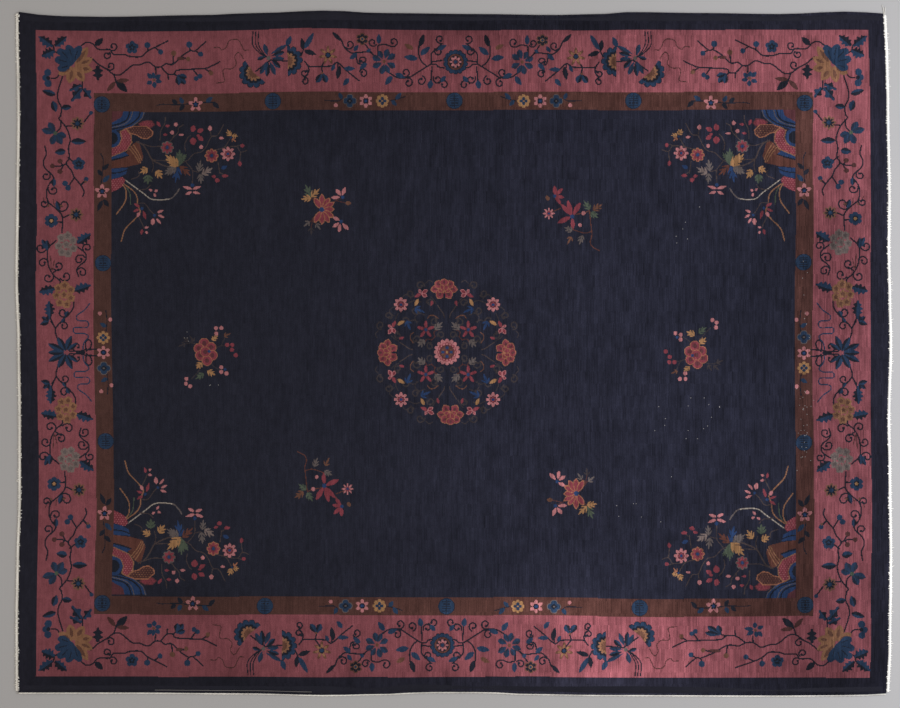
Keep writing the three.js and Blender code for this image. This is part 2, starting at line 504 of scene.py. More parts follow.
@dataclass(frozen=True)
class Patch(Motif):
    """A closed patch with straight sides, as the faces of a scholar's rock.

    Args:
        corners: Its corners in order.
        yarn: Its yarn.
        outline: Yarn of its edge, or None.
        scale: Yarn of the scale marks inside, or None.
    """

    corners: Sequence[Point]
    yarn: Yarn
    outline: Yarn | None = None
    scale: Yarn | None = None

    # The scale marks: height of a course, distance between marks, shift from course to course and side.
    COURSE = 2.0
    PITCH = 2.7
    BOND = 1.3
    MARK = 0.75
    # The edge: its reach to each side and the points along a side.
    EDGE = 0.5
    EDGE_STEPS = 40

    def draw(self, chart: KnotChart, placing: Placing) -> None:
        """Draws the patch, then its scale marks, then its edge.

        Args:
            chart: The chart to draw on.
            placing: How it is set there.
        """
        corners = placing.points(self.corners)
        after = np.roll(corners, -1, axis=0)

        def inside(x: Array, y: Array) -> Array:
            """True where a line to +X crosses the sides an odd number of times."""
            odd = np.zeros(x.shape, bool)
            for (ax, ay), (bx, by) in zip(corners, after):
                if ay != by:
                    cross = ax + (y - ay) * (bx - ax) / (by - ay)
                    odd ^= ((ay > y) != (by > y)) & (x < cross)
            return odd

        def marked(x: Array, y: Array) -> Array:
            """True on a small brickwork of marks inside the patch."""
            row = np.floor(y / self.COURSE)
            in_mark = np.mod(x + self.BOND * row, self.PITCH) < self.MARK
            return inside(x, y) & in_mark & (np.mod(y, self.COURSE) < self.MARK)

        low, high = corners.min(axis=0), corners.max(axis=0)
        chart.fill(low, high, inside, self.yarn)
        if self.scale is not None:
            chart.fill(low, high, marked, self.scale)
        if self.outline is not None:
            line = np.vstack([corners, corners[:1]])
            steps = [np.linspace(a, b, self.EDGE_STEPS) for a, b in zip(line, line[1:])]
            chart.stamp(np.vstack(steps), self.EDGE, self.outline)


def leaves(
    yarn: Yarn,
    *rows: tuple[float, ...],
    shade: Yarn | None = None,
    lobes: int = 0,
    swell: float = 0.85,
) -> list[Motif]:
    """Makes leaves of one yarn from rows of base X and Y, tip X and Y, and width."""
    return [Leaf(r[0:2], r[2:4], r[4], yarn, shade, lobes, swell) for r in rows]


# A cut leaf: its blade's width and where that is widest, then its lobes' width, where along the blade they
# leave and how far on they reach, and how far they spread, less with every pair.
BLADE_WIDTH = 0.31
BLADE_SWELL = 1.15
LOBE_WIDTH = 0.23
LOWEST_LOBE = 0.04
LOBES_OVER = 0.56
LOBE_REACH = 0.42
LOBE_SPREAD = 0.54
LOBE_TAPER = 0.2


def jagged(yarn: Yarn, pairs: int, *rows: tuple[float, ...]) -> list[Motif]:
    """Makes cut leaves, as a maple's: a blade with pairs of pointed lobes that lean toward its tip.

    Args:
        yarn: Their yarn.
        pairs: Pairs of lobes of each.
        rows: Base X, base Y, tip X, tip Y and the width from lobe to lobe of each.

    Returns:
        Each blade, then its lobes from the base up.
    """
    made: list[Motif] = []
    for row in rows:
        base, tip, width = np.array(row[0:2]), row[2:4], row[4]
        way = np.array(tip) - base
        aside = np.array([-way[1], way[0]]) / float(np.hypot(*way))
        made.append(Leaf(base, tip, BLADE_WIDTH * width, yarn, swell=BLADE_SWELL))
        for pair in range(pairs):
            root = LOWEST_LOBE + LOBES_OVER * pair / pairs
            spread = LOBE_SPREAD * width * (1 - LOBE_TAPER * pair)
            for side in (-1, 1):
                lobe = base + (root + LOBE_REACH) * way + side * spread * aside
                made.append(Leaf(base + root * way, lobe, LOBE_WIDTH * width, yarn, swell=1.0))
    return made


# A lotus petal: where it is widest, how many rims short of its tip the filling ends, and its vein's two
# ends and width as shares of the petal's.
PETAL_SWELL = 1.25
PETAL_LIP = 1.4
VEIN_FROM = 0.4
VEIN_TO = 0.8
VEIN_WIDTH = 0.3


def petals(
    base: Point,
    tips: Sequence[tuple[float, float, float]],
    edge: Yarn,
    inner: Yarn,
    vein: Yarn | None = None,
    rim: float = 0.62,
) -> list[Motif]:
    """Makes petals spread from one point, each edged, filled and veined.

    Args:
        base: The point they leave.
        tips: Each petal's far end and width, the hindmost first.
        edge: Yarn of their edges.
        inner: Yarn inside the edges.
        vein: Yarn of the line down each, or None.
        rim: Width of the edges, in squares.

    Returns:
        The petals' layers, one over another.
    """
    made: list[Motif] = []
    start = np.array(base)
    for x, y, width in tips:
        way = np.array([x, y]) - start
        inset = rim / float(np.hypot(*way))
        layers = [(0.0, 1.0, width, edge)]
        layers.append((2 * inset, 1 - PETAL_LIP * inset, width - 2 * rim, inner))
        if vein is not None:
            layers.append((VEIN_FROM, VEIN_TO, VEIN_WIDTH * width, vein))
        for first, last, wide, yarn in layers:
            made.append(Leaf(start + first * way, start + last * way, wide, yarn, swell=PETAL_SWELL))
    return made


def dots(yarn: Yarn, *rows: tuple[float, float, float]) -> list[Motif]:
    """Makes round buds of one yarn from rows of X, Y and radius."""
    return [Bloom((x, y), [Ring(radius, yarn)]) for x, y, radius in rows]


def stems(yarn: Yarn, width: float, *paths: Sequence[Point]) -> list[Motif]:
    """Makes stems of one yarn and width from the points of each."""
    return [Stem(path, width, yarn) for path in paths]


def curls(yarn: Yarn, hand: int, *rows: tuple[float, float, float, float]) -> list[Motif]:
    """Makes scrolls of one yarn and hand from rows of centre X and Y, then X and Y on the stem."""
    return [Curl(r[0:2], r[2:4], yarn, hand) for r in rows]


def blooms(rings: Sequence[Ring], *rows: Point) -> list[Motif]:
    """Makes whole flowers of one kind from their centres."""
    return [Bloom(at, rings) for at in rows]


# A peony's petal: width of its outline, size of its heart, and how deep the notches of each are.
PEONY_OUTLINE = 0.65
PEONY_HEART = 0.5
PEONY_NOTCH = 0.3
HEART_NOTCH = 0.5


def peony(
    at: Point,
    places: Sequence[tuple[float, float, float]],
    yarn: Yarn,
    outline: Yarn | None = None,
    heart: Yarn | None = None,
    ragged: int = 0,
) -> list[Motif]:
    """Makes round or ragged petals about a centre.

    Args:
        at: Their centre.
        places: Each petal's place from the centre and its radius, the hindmost first.
        yarn: Yarn of the petals.
        outline: Yarn round each petal, or None.
        heart: Yarn of the shade inside each petal, or None.
        ragged: Notches round each petal.

    Returns:
        The petals, one over another.
    """
    made: list[Motif] = []
    for x, y, radius in places:
        rings = [Ring(radius, yarn, ragged, PEONY_NOTCH if ragged else 0.0)]
        if outline is not None:
            rings.insert(0, Ring(radius + PEONY_OUTLINE, outline))
        if heart is not None:
            rings.append(Ring(PEONY_HEART * radius, heart, ragged, HEART_NOTCH if ragged else 0.0))
        made.append(Bloom((at[0] + x, at[1] + y), rings))
    return made


# A round mark of the band: its disc in its rim, then the width, reach and heights of its bars.
ROUNDEL = (Ring(8.3, Yarn.INK), Ring(7.8, Yarn.BLUE))
BAR_WIDTH = 0.7
BAR_REACH = 4.0
BAR_RISES = (-4.6, -2.3, 0.0, 2.3, 4.6)
UPRIGHT_REACH = 6.4


def roundels(*rows: Point) -> list[Motif]:
    """Makes the round longevity marks of the band: a disc with a few faint bars.

    Args:
        rows: Their centres.

    Returns:
        The discs and bars.
    """
    made: list[Motif] = []
    for x, y in rows:
        bars = [[(x - BAR_REACH, y + rise), (x + BAR_REACH, y + rise)] for rise in BAR_RISES]
        bars.append([(x, y - UPRIGHT_REACH), (x, y + UPRIGHT_REACH)])
        made += [Bloom((x, y), ROUNDEL), *stems(Yarn.INK, BAR_WIDTH, *bars)]
    return made


# Kinds of flower
BLUE_DAISY = (Ring(7.0, Yarn.BLUE, 6, 0.26), Ring(3.2, Yarn.INK, 6, 0.3), Ring(1.7, Yarn.GOLD))
SMALL_BLUE = (Ring(6.6, Yarn.BLUE, 5, 0.36), Ring(3.4, Yarn.INK, 5, 0.6), Ring(1.1, Yarn.BLUE))
TAN_STAR = (
    Ring(9.2, Yarn.OLIVE, 7, 0.72, 1.5), Ring(6.6, Yarn.TAN, 7, 0.66, 1.3), Ring(3.0, Yarn.INK, 7, 0.3),
    Ring(1.9, Yarn.BLUE),
)
OCHRE_STAR = (
    Ring(7.0, Yarn.SAND, 8, 0.36, 0.8), Ring(5.2, Yarn.INK, 8, 0.6, 1.0), Ring(2.9, Yarn.INK),
    Ring(2.0, Yarn.BLUE),
)
DARK_STAR = (
    Ring(6.6, Yarn.OLIVE, 6, 0.42), Ring(5.4, Yarn.INK, 6, 0.5), Ring(2.1, Yarn.TAN),
    Ring(1.4, Yarn.BLUE),
)
PINK_BLOSSOM = (Ring(7.4, Yarn.PINK, 5, 0.74, 1.0), Ring(3.4, Yarn.INK, 5, 0.5), Ring(1.5, Yarn.AZURE))
BAND_GOLD = (Ring(6.8, Yarn.GOLD, 8, 0.34), Ring(4.0, Yarn.BLUE, 4, 0.66), Ring(0.9, Yarn.GOLD))
BAND_BLUE = (
    Ring(7.0, Yarn.GREY, 4, 0.34, 0.6), Ring(6.2, Yarn.BLUE, 4, 0.4, 0.6), Ring(3.0, Yarn.INK, 4, 0.5),
    Ring(1.0, Yarn.GREY),
)
BAND_PINK = (Ring(6.9, Yarn.PINK, 6, 0.62, 0.8), Ring(2.9, Yarn.INK), Ring(1.6, Yarn.AZURE))
CENTRE_ROSETTE = (
    Ring(12.6, Yarn.INK, 14, 0.14), Ring(12.0, Yarn.BLUE, 14, 0.16), Ring(8.6, Yarn.INK, 14, 0.1),
    Ring(7.8, Yarn.CLAY), Ring(6.3, Yarn.INK), Ring(6.0, Yarn.PINK, 8, 0.56, 0.8),
    Ring(3.2, Yarn.MAROON, 8, 0.3), Ring(1.8, Yarn.BLUE),
)
RED_ROSETTE = (
    Ring(6.8, Yarn.GREY, 8, 0.28), Ring(6.0, Yarn.RED, 8, 0.44, 0.8), Ring(2.7, Yarn.MAROON),
    Ring(1.6, Yarn.AZURE),
)
GILT_ROSETTE = (
    Ring(7.0, Yarn.OCHRE, 8, 0.26), Ring(6.2, Yarn.RED, 8, 0.44, 0.8), Ring(2.6, Yarn.MAROON),
    Ring(1.6, Yarn.AZURE),
)
PINK_ROSETTE = (
    Ring(7.3, Yarn.PINK, 8, 0.5, 0.7), Ring(3.7, Yarn.MAROON, 8, 0.2), Ring(2.7, Yarn.RED, 4, 0.6),
    Ring(1.5, Yarn.AZURE),
)
RED_STAR = (Ring(8.9, Yarn.RED, 5, 0.84, 2.3), Ring(2.5, Yarn.MAROON), Ring(1.6, Yarn.AZURE))
CARNATION = (
    Ring(15.2, Yarn.INK, 12, 0.2), Ring(14.5, Yarn.BLUE, 12, 0.22), Ring(10.4, Yarn.INK, 12, 0.16),
    Ring(8.0, Yarn.TAN, 12, 0.34), Ring(5.2, Yarn.OLIVE, 12, 0.3),
)

# The upper left quarter of the long border, X to the left of the centre and Y above it.
LONG_BORDER: list[Motif] = [
    *stems(
        Yarn.INK, 1.5,
        [(371, 308), (366, 311.5), (360, 310), (354, 304.5), (343, 304), (339, 299.5), (329, 299.5),
         (322, 297.5), (312, 297.5), (305, 303), (298, 306.5), (285, 313)],
        [(361.5, 296), (354, 289.5), (346, 285), (339, 280), (332, 280), (321, 288.5), (313.5, 289.5),
         (304.5, 292), (297.5, 287.5), (292, 287.5), (287, 290.5), (280, 290), (271, 298), (262.5, 303),
         (257.5, 303), (247, 312)],
        [(292, 287.5), (285, 280.5), (279, 280.5), (275.5, 284), (260, 285), (248, 285.5), (240, 288.5),
         (233, 292)],
        [(285, 280.5), (284.5, 275.5)], [(297.5, 287.5), (297, 281)], [(305, 303), (305.4, 308)],
        [(298, 306.5), (292.2, 302.3)], [(280, 290), (279.2, 300)], [(272, 297), (265, 295)],
        [(262.5, 303), (263.5, 309)], [(257.5, 303), (252.5, 299.8)], [(260, 285), (255, 278.5)],
        [(248, 285.5), (242, 281)], [(279, 280.5), (275, 278)], [(339, 280), (336.5, 272)],
        [(401, 275.5), (396, 276), (392.5, 280.5)], [(391, 299), (397.5, 302), (399, 307)],
        [(370.1, 272.8), (370.1, 264.5)],
        [(148, 290.5), (143, 285.5), (131.5, 285.5), (121, 286), (115, 289), (105, 280.5), (94, 272)],
        [(131.5, 285.5), (126, 293)], [(131.5, 285.5), (130, 279)], [(145, 287), (144, 281), (148, 275)],
        [(115, 288), (114, 278)], [(108, 283.5), (100, 283.5)],
        [(119.5, 318.5), (112, 312), (108.5, 304.5), (102, 299), (96.5, 299), (84, 300), (78.5, 296.5)],
        [(87.4, 307.3), (81, 299)], [(74.8, 296.7), (74.8, 306)], [(74, 307), (68, 308), (62, 306)],
        [(97, 297.5), (95, 289), (91, 287.5), (93, 281)],
        [(66.5, 282), (56, 275.5), (44.5, 275.5), (36, 280), (26.5, 286), (22, 288.5), (17, 288.5),
         (14.5, 286), (9, 285)],
        [(21, 291), (11, 292.5)],
        [(34, 307), (34, 297.5), (30.6, 290.5), (26.4, 287)],
        [(21.5, 290), (21.5, 299), (16.6, 304), (11, 309.5)], [(21, 286), (22.2, 270.8)],
        [(149, 302), (152, 296)], [(183, 292), (197, 282)], [(183, 293), (164, 291)],
    ),
    *stems(
        Yarn.RUST, 0.9,
        [(239, 306), (233.5, 306), (231, 303.5), (226.5, 306), (224, 312), (219, 314), (214, 313),
         (211, 307.5), (208.5, 303), (204, 303)],
        [(236.5, 271), (228.5, 272.5), (229.5, 279), (229, 284.5), (221, 285), (216.5, 289.5), (218, 296),
         (215.5, 300.5), (212.5, 299.5), (209, 294)],
    ),
    *stems(
        Yarn.INK, 1.1,
        [(199.7, 321.3), (200, 308), (192, 299), (184.2, 294.6)],
        [(196.9, 321.3), (197, 308.5), (190.5, 299), (184.2, 294.6)],
        [(194, 321.3), (194.3, 309), (189, 299), (184.2, 294.6)],
    ),
    *curls(
        Yarn.INK, -1, (339.2, 307.6, 343, 304.5), (342, 288.3, 346, 285.5), (103, 307.3, 107, 304),
        (59.5, 311.0, 62, 306), (47.4, 280.6, 51, 276.5), (15.2, 273.6, 19.5, 276),
        (14.5, 301.4, 18, 304),
    ),
    *curls(
        Yarn.INK, 1, (346.0, 298.5, 343, 301.5), (148.5, 279.2, 145.5, 282), (147.8, 271.3, 148, 275),
        (80.4, 310, 76.5, 307.5), (89.5, 291.8, 93, 289.5), (89.5, 278.8, 92.5, 282.5),
        (44.6, 269.8, 46, 275), (13, 314.2, 11.5, 309.5), (32, 272, 30.5, 277), (9, 268, 14, 269.5),
    ),
    *leaves(
        Yarn.BLUE, (399.5, 306.8, 414, 317.2, 11), (397.7, 302.5, 411.3, 297, 12), shade=Yarn.INK,
        lobes=4,
    ),
    *leaves(Yarn.INK, (397.7, 307.2, 385.5, 317.6, 10.5), shade=Yarn.BLUE, lobes=4),
    *leaves(
        Yarn.BLUE, (371, 269.2, 383.4, 263.4, 9), (371, 265.5, 381.4, 252.4, 10.5),
        (369, 265.5, 361.6, 255.6, 9.5), shade=Yarn.INK, lobes=2,
    ),
    *leaves(
        Yarn.INK, (357.5, 308, 349.5, 316, 6), (336.5, 273.5, 325.5, 262.5, 7),
        (149.2, 301.6, 151, 313.5, 5), (148.5, 301, 136.5, 297, 5), (112, 311, 120.5, 319.5, 4.2),
        (33, 306.5, 29, 319, 5.4), (113, 286, 115.5, 273, 5.2),
    ),
    *leaves(Yarn.INK, (355, 288.5, 354.7, 273.6, 11.5), lobes=3),
    *leaves(
        Yarn.RUST, (336, 273.5, 323.5, 274.5, 4.6), (337.5, 272.5, 346, 263, 4.8),
        (276, 296, 268, 295, 3.6), (244, 284, 240, 279, 3.6),
    ),
    *leaves(
        Yarn.BLUE, (166, 306, 161.8, 316, 5.4), (148, 303, 139, 319, 5.2), (109, 283.5, 97.5, 283.5, 4.4),
        (104, 274, 109.5, 267, 4.8), (96, 298.5, 103, 292.5, 4.8), (74, 308.5, 74, 318.5, 5),
        (86, 289, 93, 283.5, 4.8), (61, 276.5, 67.5, 268, 5.4), (57.5, 279, 47.5, 275, 5),
        (32.5, 298, 23, 306, 5.6), (35.5, 294, 49, 296, 5.8), (15.5, 303, 6.5, 307.8, 4.6),
        (22, 272.5, 23.5, 264, 5.6), (12, 271, 7.5, 277, 4.6), (99, 301, 94.5, 306.5, 4),
        (86, 300, 82, 303.5, 3.6), (118, 287, 121.5, 281, 3.6),
    ),
    *leaves(Yarn.OLIVE, (39.5, 303.5, 48.5, 308.8, 4.6)),
    *leaves(
        Yarn.BLUE, (276, 279.5, 267.5, 270.5, 6), (276, 279.5, 274, 269.5, 5.6),
        (276, 279.5, 266, 277, 5.2), (130, 279.5, 136.5, 270, 6.2), (130, 279.5, 126, 270, 6.2),
        shade=Yarn.INK, swell=1.5,
    ),
    *leaves(
        Yarn.BLUE, (185.3, 297, 188.5, 308.5, 5), (182, 298.5, 166, 307, 4.4),
        (181, 294.3, 168.5, 293.6, 4.4), (183.2, 291.5, 177.5, 278, 4.8), (185.5, 292, 192.5, 279, 4.8),
        shade=Yarn.STEEL, swell=1.35,
    ),
    *leaves(
        Yarn.INK, (181, 296.8, 168, 300.2, 4.6), (181, 292.5, 172.5, 285, 5),
        (184.4, 291.5, 186, 276.5, 5.2), (186.5, 296.5, 195.5, 293.5, 4), shade=Yarn.BLUE, swell=1.3,
    ),
    *leaves(
        Yarn.BLUE, (67.7, 293.8, 65, 303.4, 6), (66, 292.6, 57.6, 298.3, 6), (66, 289.8, 57.4, 285.4, 6),
        (69.2, 288, 71.5, 278.4, 6), (71.2, 289.6, 80.2, 285.3, 6), (71.4, 292, 80.6, 295.4, 6),
        (68.2, 288.4, 63.5, 279.4, 5), (70.4, 293.4, 74, 301.6, 5), shade=Yarn.STEEL, swell=1.3,
    ),
    *dots(Yarn.GREY, (184.2, 294.6, 2)),
    *dots(Yarn.OLIVE, (130.5, 279, 1.2), (68.8, 291, 1.6)),
    *dots(
        Yarn.BLUE, (305.4, 308.9, 3), (292.2, 302.1, 2.6), (256.7, 275.7, 2.4), (253, 278, 2.4),
        (263.5, 309.2, 3.2), (252.2, 299.6, 2.6), (404.8, 281, 3.5), (407.4, 275.6, 3.2),
        (404.4, 270.2, 3.7),
    ),
    *dots(Yarn.INK, (404.2, 275.6, 2)),
    *leaves(
        Yarn.BLUE, (301, 276, 305.5, 281, 4.6), (299.2, 276, 299.8, 282, 4.4),
        (297.6, 275.6, 292.5, 279.8, 4.6), (297.4, 273.6, 291, 272.8, 4.4),
        (298.6, 272.6, 298.6, 266.6, 4.6), (300.8, 273, 306.4, 270.8, 4.6),
    ),
    *dots(Yarn.OLIVE, (242, 280.8, 2.2), (279.2, 300.6, 2.6), (264.8, 295, 2.2), (299, 274.6, 1.4)),
    *blooms(SMALL_BLUE, (320.6, 306.5)),
    *blooms(TAN_STAR, (124.8, 296.4)),
    *blooms(DARK_STAR, (90.6, 313)),
    Bloom((199, 280.5), CARNATION, (207, 273), 98),
    Bloom((165, 291.5), CARNATION, (150, 291.8), 92),
    *leaves(
        Yarn.TAN, (378, 287, 364.6, 306.4, 9), (381, 287, 394, 279.2, 8), (378, 287, 360, 295.4, 8.6),
        (380, 287, 383, 270.8, 9.4), (378, 287, 360.2, 284, 8.8), (379, 287, 368.6, 273, 9.6), swell=1.25,
    ),
    *leaves(
        Yarn.OLIVE, (376, 291, 367, 303.2, 4), (383, 285.6, 390.6, 281.2, 3.6),
        (371, 290.4, 363, 293.6, 2.8), (380.6, 283.4, 382.4, 273.8, 3.6), (370, 285.4, 363.6, 284.6, 3.2),
        (375.6, 282.2, 370.6, 275.6, 4),
    ),
    *leaves(
        Yarn.BLUE, (379, 289.6, 373.6, 307.6, 8.6), (379, 289.6, 383.4, 308.6, 8.8),
        (379, 289.6, 392.4, 304, 9), (379, 289.6, 397, 294.6, 9), (379, 289.6, 394.4, 284.4, 8.4),
        swell=1.7,
    ),
    *dots(
        Yarn.BLUE, (373.4, 304.6, 3.4), (383.8, 305.4, 3.4), (392, 301.6, 3.5), (394.2, 293.8, 3.5),
        (391.6, 285.4, 3.3), (381.6, 292.4, 3.8),
    ),
    *stems(
        Yarn.INK, 0.8, [(377.6, 294.4), (375.4, 302)], [(381, 298), (382.8, 304.4)],
        [(384.6, 295.6), (390.2, 301.4)], [(386, 291.8), (393, 293.6)], [(384.6, 287.8), (390.6, 285.8)],
    ),
]

# The left half of the short border above the middle line.
SHORT_BORDER: list[Motif] = [
    *stems(
        Yarn.INK, 1.5,
        [(390, 277), (393, 268), (395, 259.5), (394, 252.5), (391, 246), (392, 238), (393.5, 235),
         (387.5, 228), (384, 221), (382.5, 213.5), (384, 205), (383, 196), (386, 190), (381, 183),
         (378, 176), (372.5, 169.5), (368.5, 162.5), (369.5, 157)],
        [(386, 227.7), (379, 228)], [(368.5, 232.5), (365, 237), (361.8, 241)],
        [(391.4, 233), (392.4, 225.7), (397.2, 220.5)], [(384, 196), (378, 191)],
        [(386, 190), (392, 187.5), (399, 187.5)], [(390, 188.5), (392.4, 192.3)],
        [(389, 188.5), (392.4, 182)], [(378, 176), (383, 168)], [(371, 169), (366.5, 173.5)],
        [(407.7, 207.5), (406.3, 199), (409, 192.3), (407.7, 185.5), (402, 180.3), (398.6, 175),
         (403, 169.3), (405.8, 161.6), (404.3, 152), (397.2, 145.4), (391.4, 139.6), (389.5, 133),
         (390.5, 120.5)],
        [(391, 131), (397, 131.5)], [(388.6, 135.8), (381.9, 139)],
        [(377.4, 107.7), (369.1, 102), (366.2, 97.8), (367.4, 92), (373, 87.5), (375.7, 83), (374, 77)],
        [(396.5, 112.7), (404.3, 104.5), (404.8, 97), (404.3, 88.7), (401.4, 82), (398.1, 77),
         (393.1, 73), (392, 68)],
        [(379, 57.2), (379, 47.2), (382.4, 40.5), (388.2, 34.8), (394.8, 28), (397.7, 23.2),
         (396.5, 16.5), (393, 9)],
        [(397.7, 24), (403.1, 36.5)], [(402, 31.5), (399, 27)], [(399.4, 80.5), (394, 84)],
        [(384, 1.5), (371, 1.5)], [(369, 2.4), (357, 3.5)],
        [(367, 1.5), (363, 5), (362, 10.5), (365, 13), (367.8, 9.5), (367, 1.5)],
    ),
    *stems(
        Yarn.RUST, 0.9, [(409.6, 155.9), (407.5, 150)], [(399, 154), (398, 147)],
        [(401, 83.7), (401.9, 97)], [(400, 83), (398.1, 92.8)],
    ),
    *stems(
        Yarn.BLUE, 1.2,
        [(363, 49.7), (368.3, 43), (376, 37.3), (375.3, 32.7), (366.6, 31.9), (364.5, 29), (366.6, 25.2),
         (378.2, 25.2), (379.5, 22.3), (377.8, 19.5), (368.3, 19), (365, 15.7), (369.1, 9.9),
         (370.8, 2.5)],
    ),
    *curls(
        Yarn.INK, 1, (406.7, 177.2, 404, 182), (408.6, 149.5, 405, 152), (365, 105.5, 369, 102.5),
        (404.8, 75.6, 399.5, 79.5), (389.8, 40.6, 384, 38.5), (389, 26.5, 393, 29.5),
        (370.3, 80.4, 375, 83.5), (412, 105.3, 406, 104.5), (376.6, 6.3, 371.5, 2),
    ),
    *curls(
        Yarn.INK, -1, (398.5, 163.3, 404, 165.5), (389, 148.6, 394.5, 143.5), (373, 93.2, 367.5, 96),
        (394, 87.6, 398.5, 84), (386.5, 77.3, 392, 74.5), (409.7, 90, 404.5, 92),
    ),
    *leaves(
        Yarn.INK, (397, 259, 410.5, 263, 6), (391, 246.2, 381, 247.2, 6),
        (381.5, 212.5, 366.5, 212.5, 6.6), (404, 31.5, 411.4, 36, 5), (404, 31, 413, 28.6, 5),
        (405, 32, 404.4, 38.4, 4.2), shade=Yarn.BLUE,
    ),
    *leaves(
        Yarn.BLUE, (400, 252.5, 396.5, 242, 6.8), (387, 202.5, 397.5, 201, 6.8),
        (398.6, 175, 398.5, 166.5, 5), (392.6, 143.5, 396, 152.5, 5.4), (404.5, 103.5, 410.5, 114, 5.6),
        (404.5, 103.5, 405.5, 113.5, 5), (387.5, 36, 384.5, 42, 4.4), (391, 30, 388, 35, 4.2),
        shade=Yarn.INK,
    ),
    *leaves(
        Yarn.BLUE, (375.3, 110.2, 361.5, 119.5, 11.5), (397.3, 64.6, 414, 61, 11),
        (379, 62.5, 361.5, 68.2, 11), (403, 36, 403.6, 52, 11.5), shade=Yarn.INK, lobes=4,
    ),
    *leaves(
        Yarn.BLUE, (397.5, 221, 403.8, 231.5, 7), (397.5, 221, 411, 224, 7),
        (396.5, 220, 386, 217.5, 6.4), (396.5, 220, 390.5, 209.5, 6.8), (397.5, 220, 401, 209, 6.8),
        shade=Yarn.STEEL, swell=1.25,
    ),
    *dots(Yarn.GREEN, (397.2, 220.5, 2)),
    *blooms(SMALL_BLUE, (373.7, 189.9)),
    *blooms(BLUE_DAISY, (401, 132.5)),
    *blooms(OCHRE_STAR, (375.2, 230.5), (376.1, 138.6)),
    *dots(Yarn.RUST, (392.4, 192.3, 2.5), (400, 187.5, 2.5), (392.4, 182, 2.5)),
    *dots(Yarn.BLUE, (387.3, 170.2, 2.8), (384.2, 165.6, 2.8), (366.3, 174.5, 2.4), (361.8, 241.5, 2)),
    *dots(Yarn.OLIVE, (366.8, 171.8, 1.3), (404, 147.5, 1.2), (391, 147.5, 1.2)),
    *peony(
        (386, 109),
        [(-6.6, 3.8, 4.2), (-1.4, 8.4, 4.6), (5, 6.2, 4.4), (7.6, -1.4, 4.2), (-6.6, -4, 4.4),
         (4.4, -8, 4.4), (-1.8, -9.4, 4.2), (0, -0.4, 4.2)],
        Yarn.ASH, None, Yarn.GREY, 5,
    ),
    *peony(
        (388.6, 58.8),
        [(-6.6, 4.4, 4.4), (-0.8, 8.8, 4.8), (5.6, 6.2, 4.4), (7.4, -1.4, 4.2), (-6.8, -3.8, 4.4),
         (4.2, -8.4, 4.4), (-2.4, -10, 4.4), (0, -0.6, 4.4)],
        Yarn.TAN, None, Yarn.OLIVE, 5,
    ),
    *leaves(
        Yarn.BLUE, (388, 1.5, 381.5, 17, 6.4), (388, 1.5, 395.5, 15.5, 6.4), (389, 1, 405, 9, 6.2),
        (386, 2, 376, 9.5, 4.6), (389, 0, 405.5, 0, 5.4), shade=Yarn.INK, swell=1.1,
    ),
    *dots(Yarn.INK, (370.8, 0, 2.6)),
]

# The upper left quarter of the narrow band, but for its middles.
BAND_MOTIFS: list[Motif] = [
    *roundels((351, 250), (180, 252.3), (349.5, 90)),
    *stems(
        Yarn.INK, 1.0,
        [(296, 249.5), (290, 250.5), (273, 250), (253, 252), (238, 252)],
        [(128, 252.5), (115, 252), (110, 255)], [(64, 252), (55, 254), (47.5, 256.5)],
        [(351.7, 200), (349.3, 192.3), (351.2, 170)], [(347, 42), (346, 32), (347, 22)],
    ),
    *leaves(
        Yarn.INK, (276, 250.5, 281, 255.5, 4.2), (269, 250, 273.5, 244, 4.2), (240, 252, 234, 246, 4.4),
        (350, 178, 355, 184, 4.2), (349, 184, 344, 190, 4.2), (349, 154, 343.5, 146.5, 4.4),
        (350, 153, 355, 142, 4.4),
    ),
    *leaves(
        Yarn.BLUE, (270, 251, 273, 257.5, 4.2), (247, 252, 240.5, 257.5, 4.4),
        (111, 254, 113.5, 260, 4.2), (57, 253.5, 52, 260, 4.4), (61, 252.5, 56.5, 247.5, 4.2),
        (349.5, 171.5, 343, 178.5, 4.4), (347, 26, 353, 30, 4.2),
    ),
    *dots(Yarn.PINK, (117, 247.8, 1.9), (353, 39.5, 1.9), (342.8, 33.3, 1.9)),
    *blooms(PINK_BLOSSOM, (257.4, 250.2), (350.3, 162)),
    *blooms(BAND_BLUE, (103, 252)),
    *blooms(BAND_PINK, (87, 252)),
    *blooms(BAND_GOLD, (70.5, 252)),
]

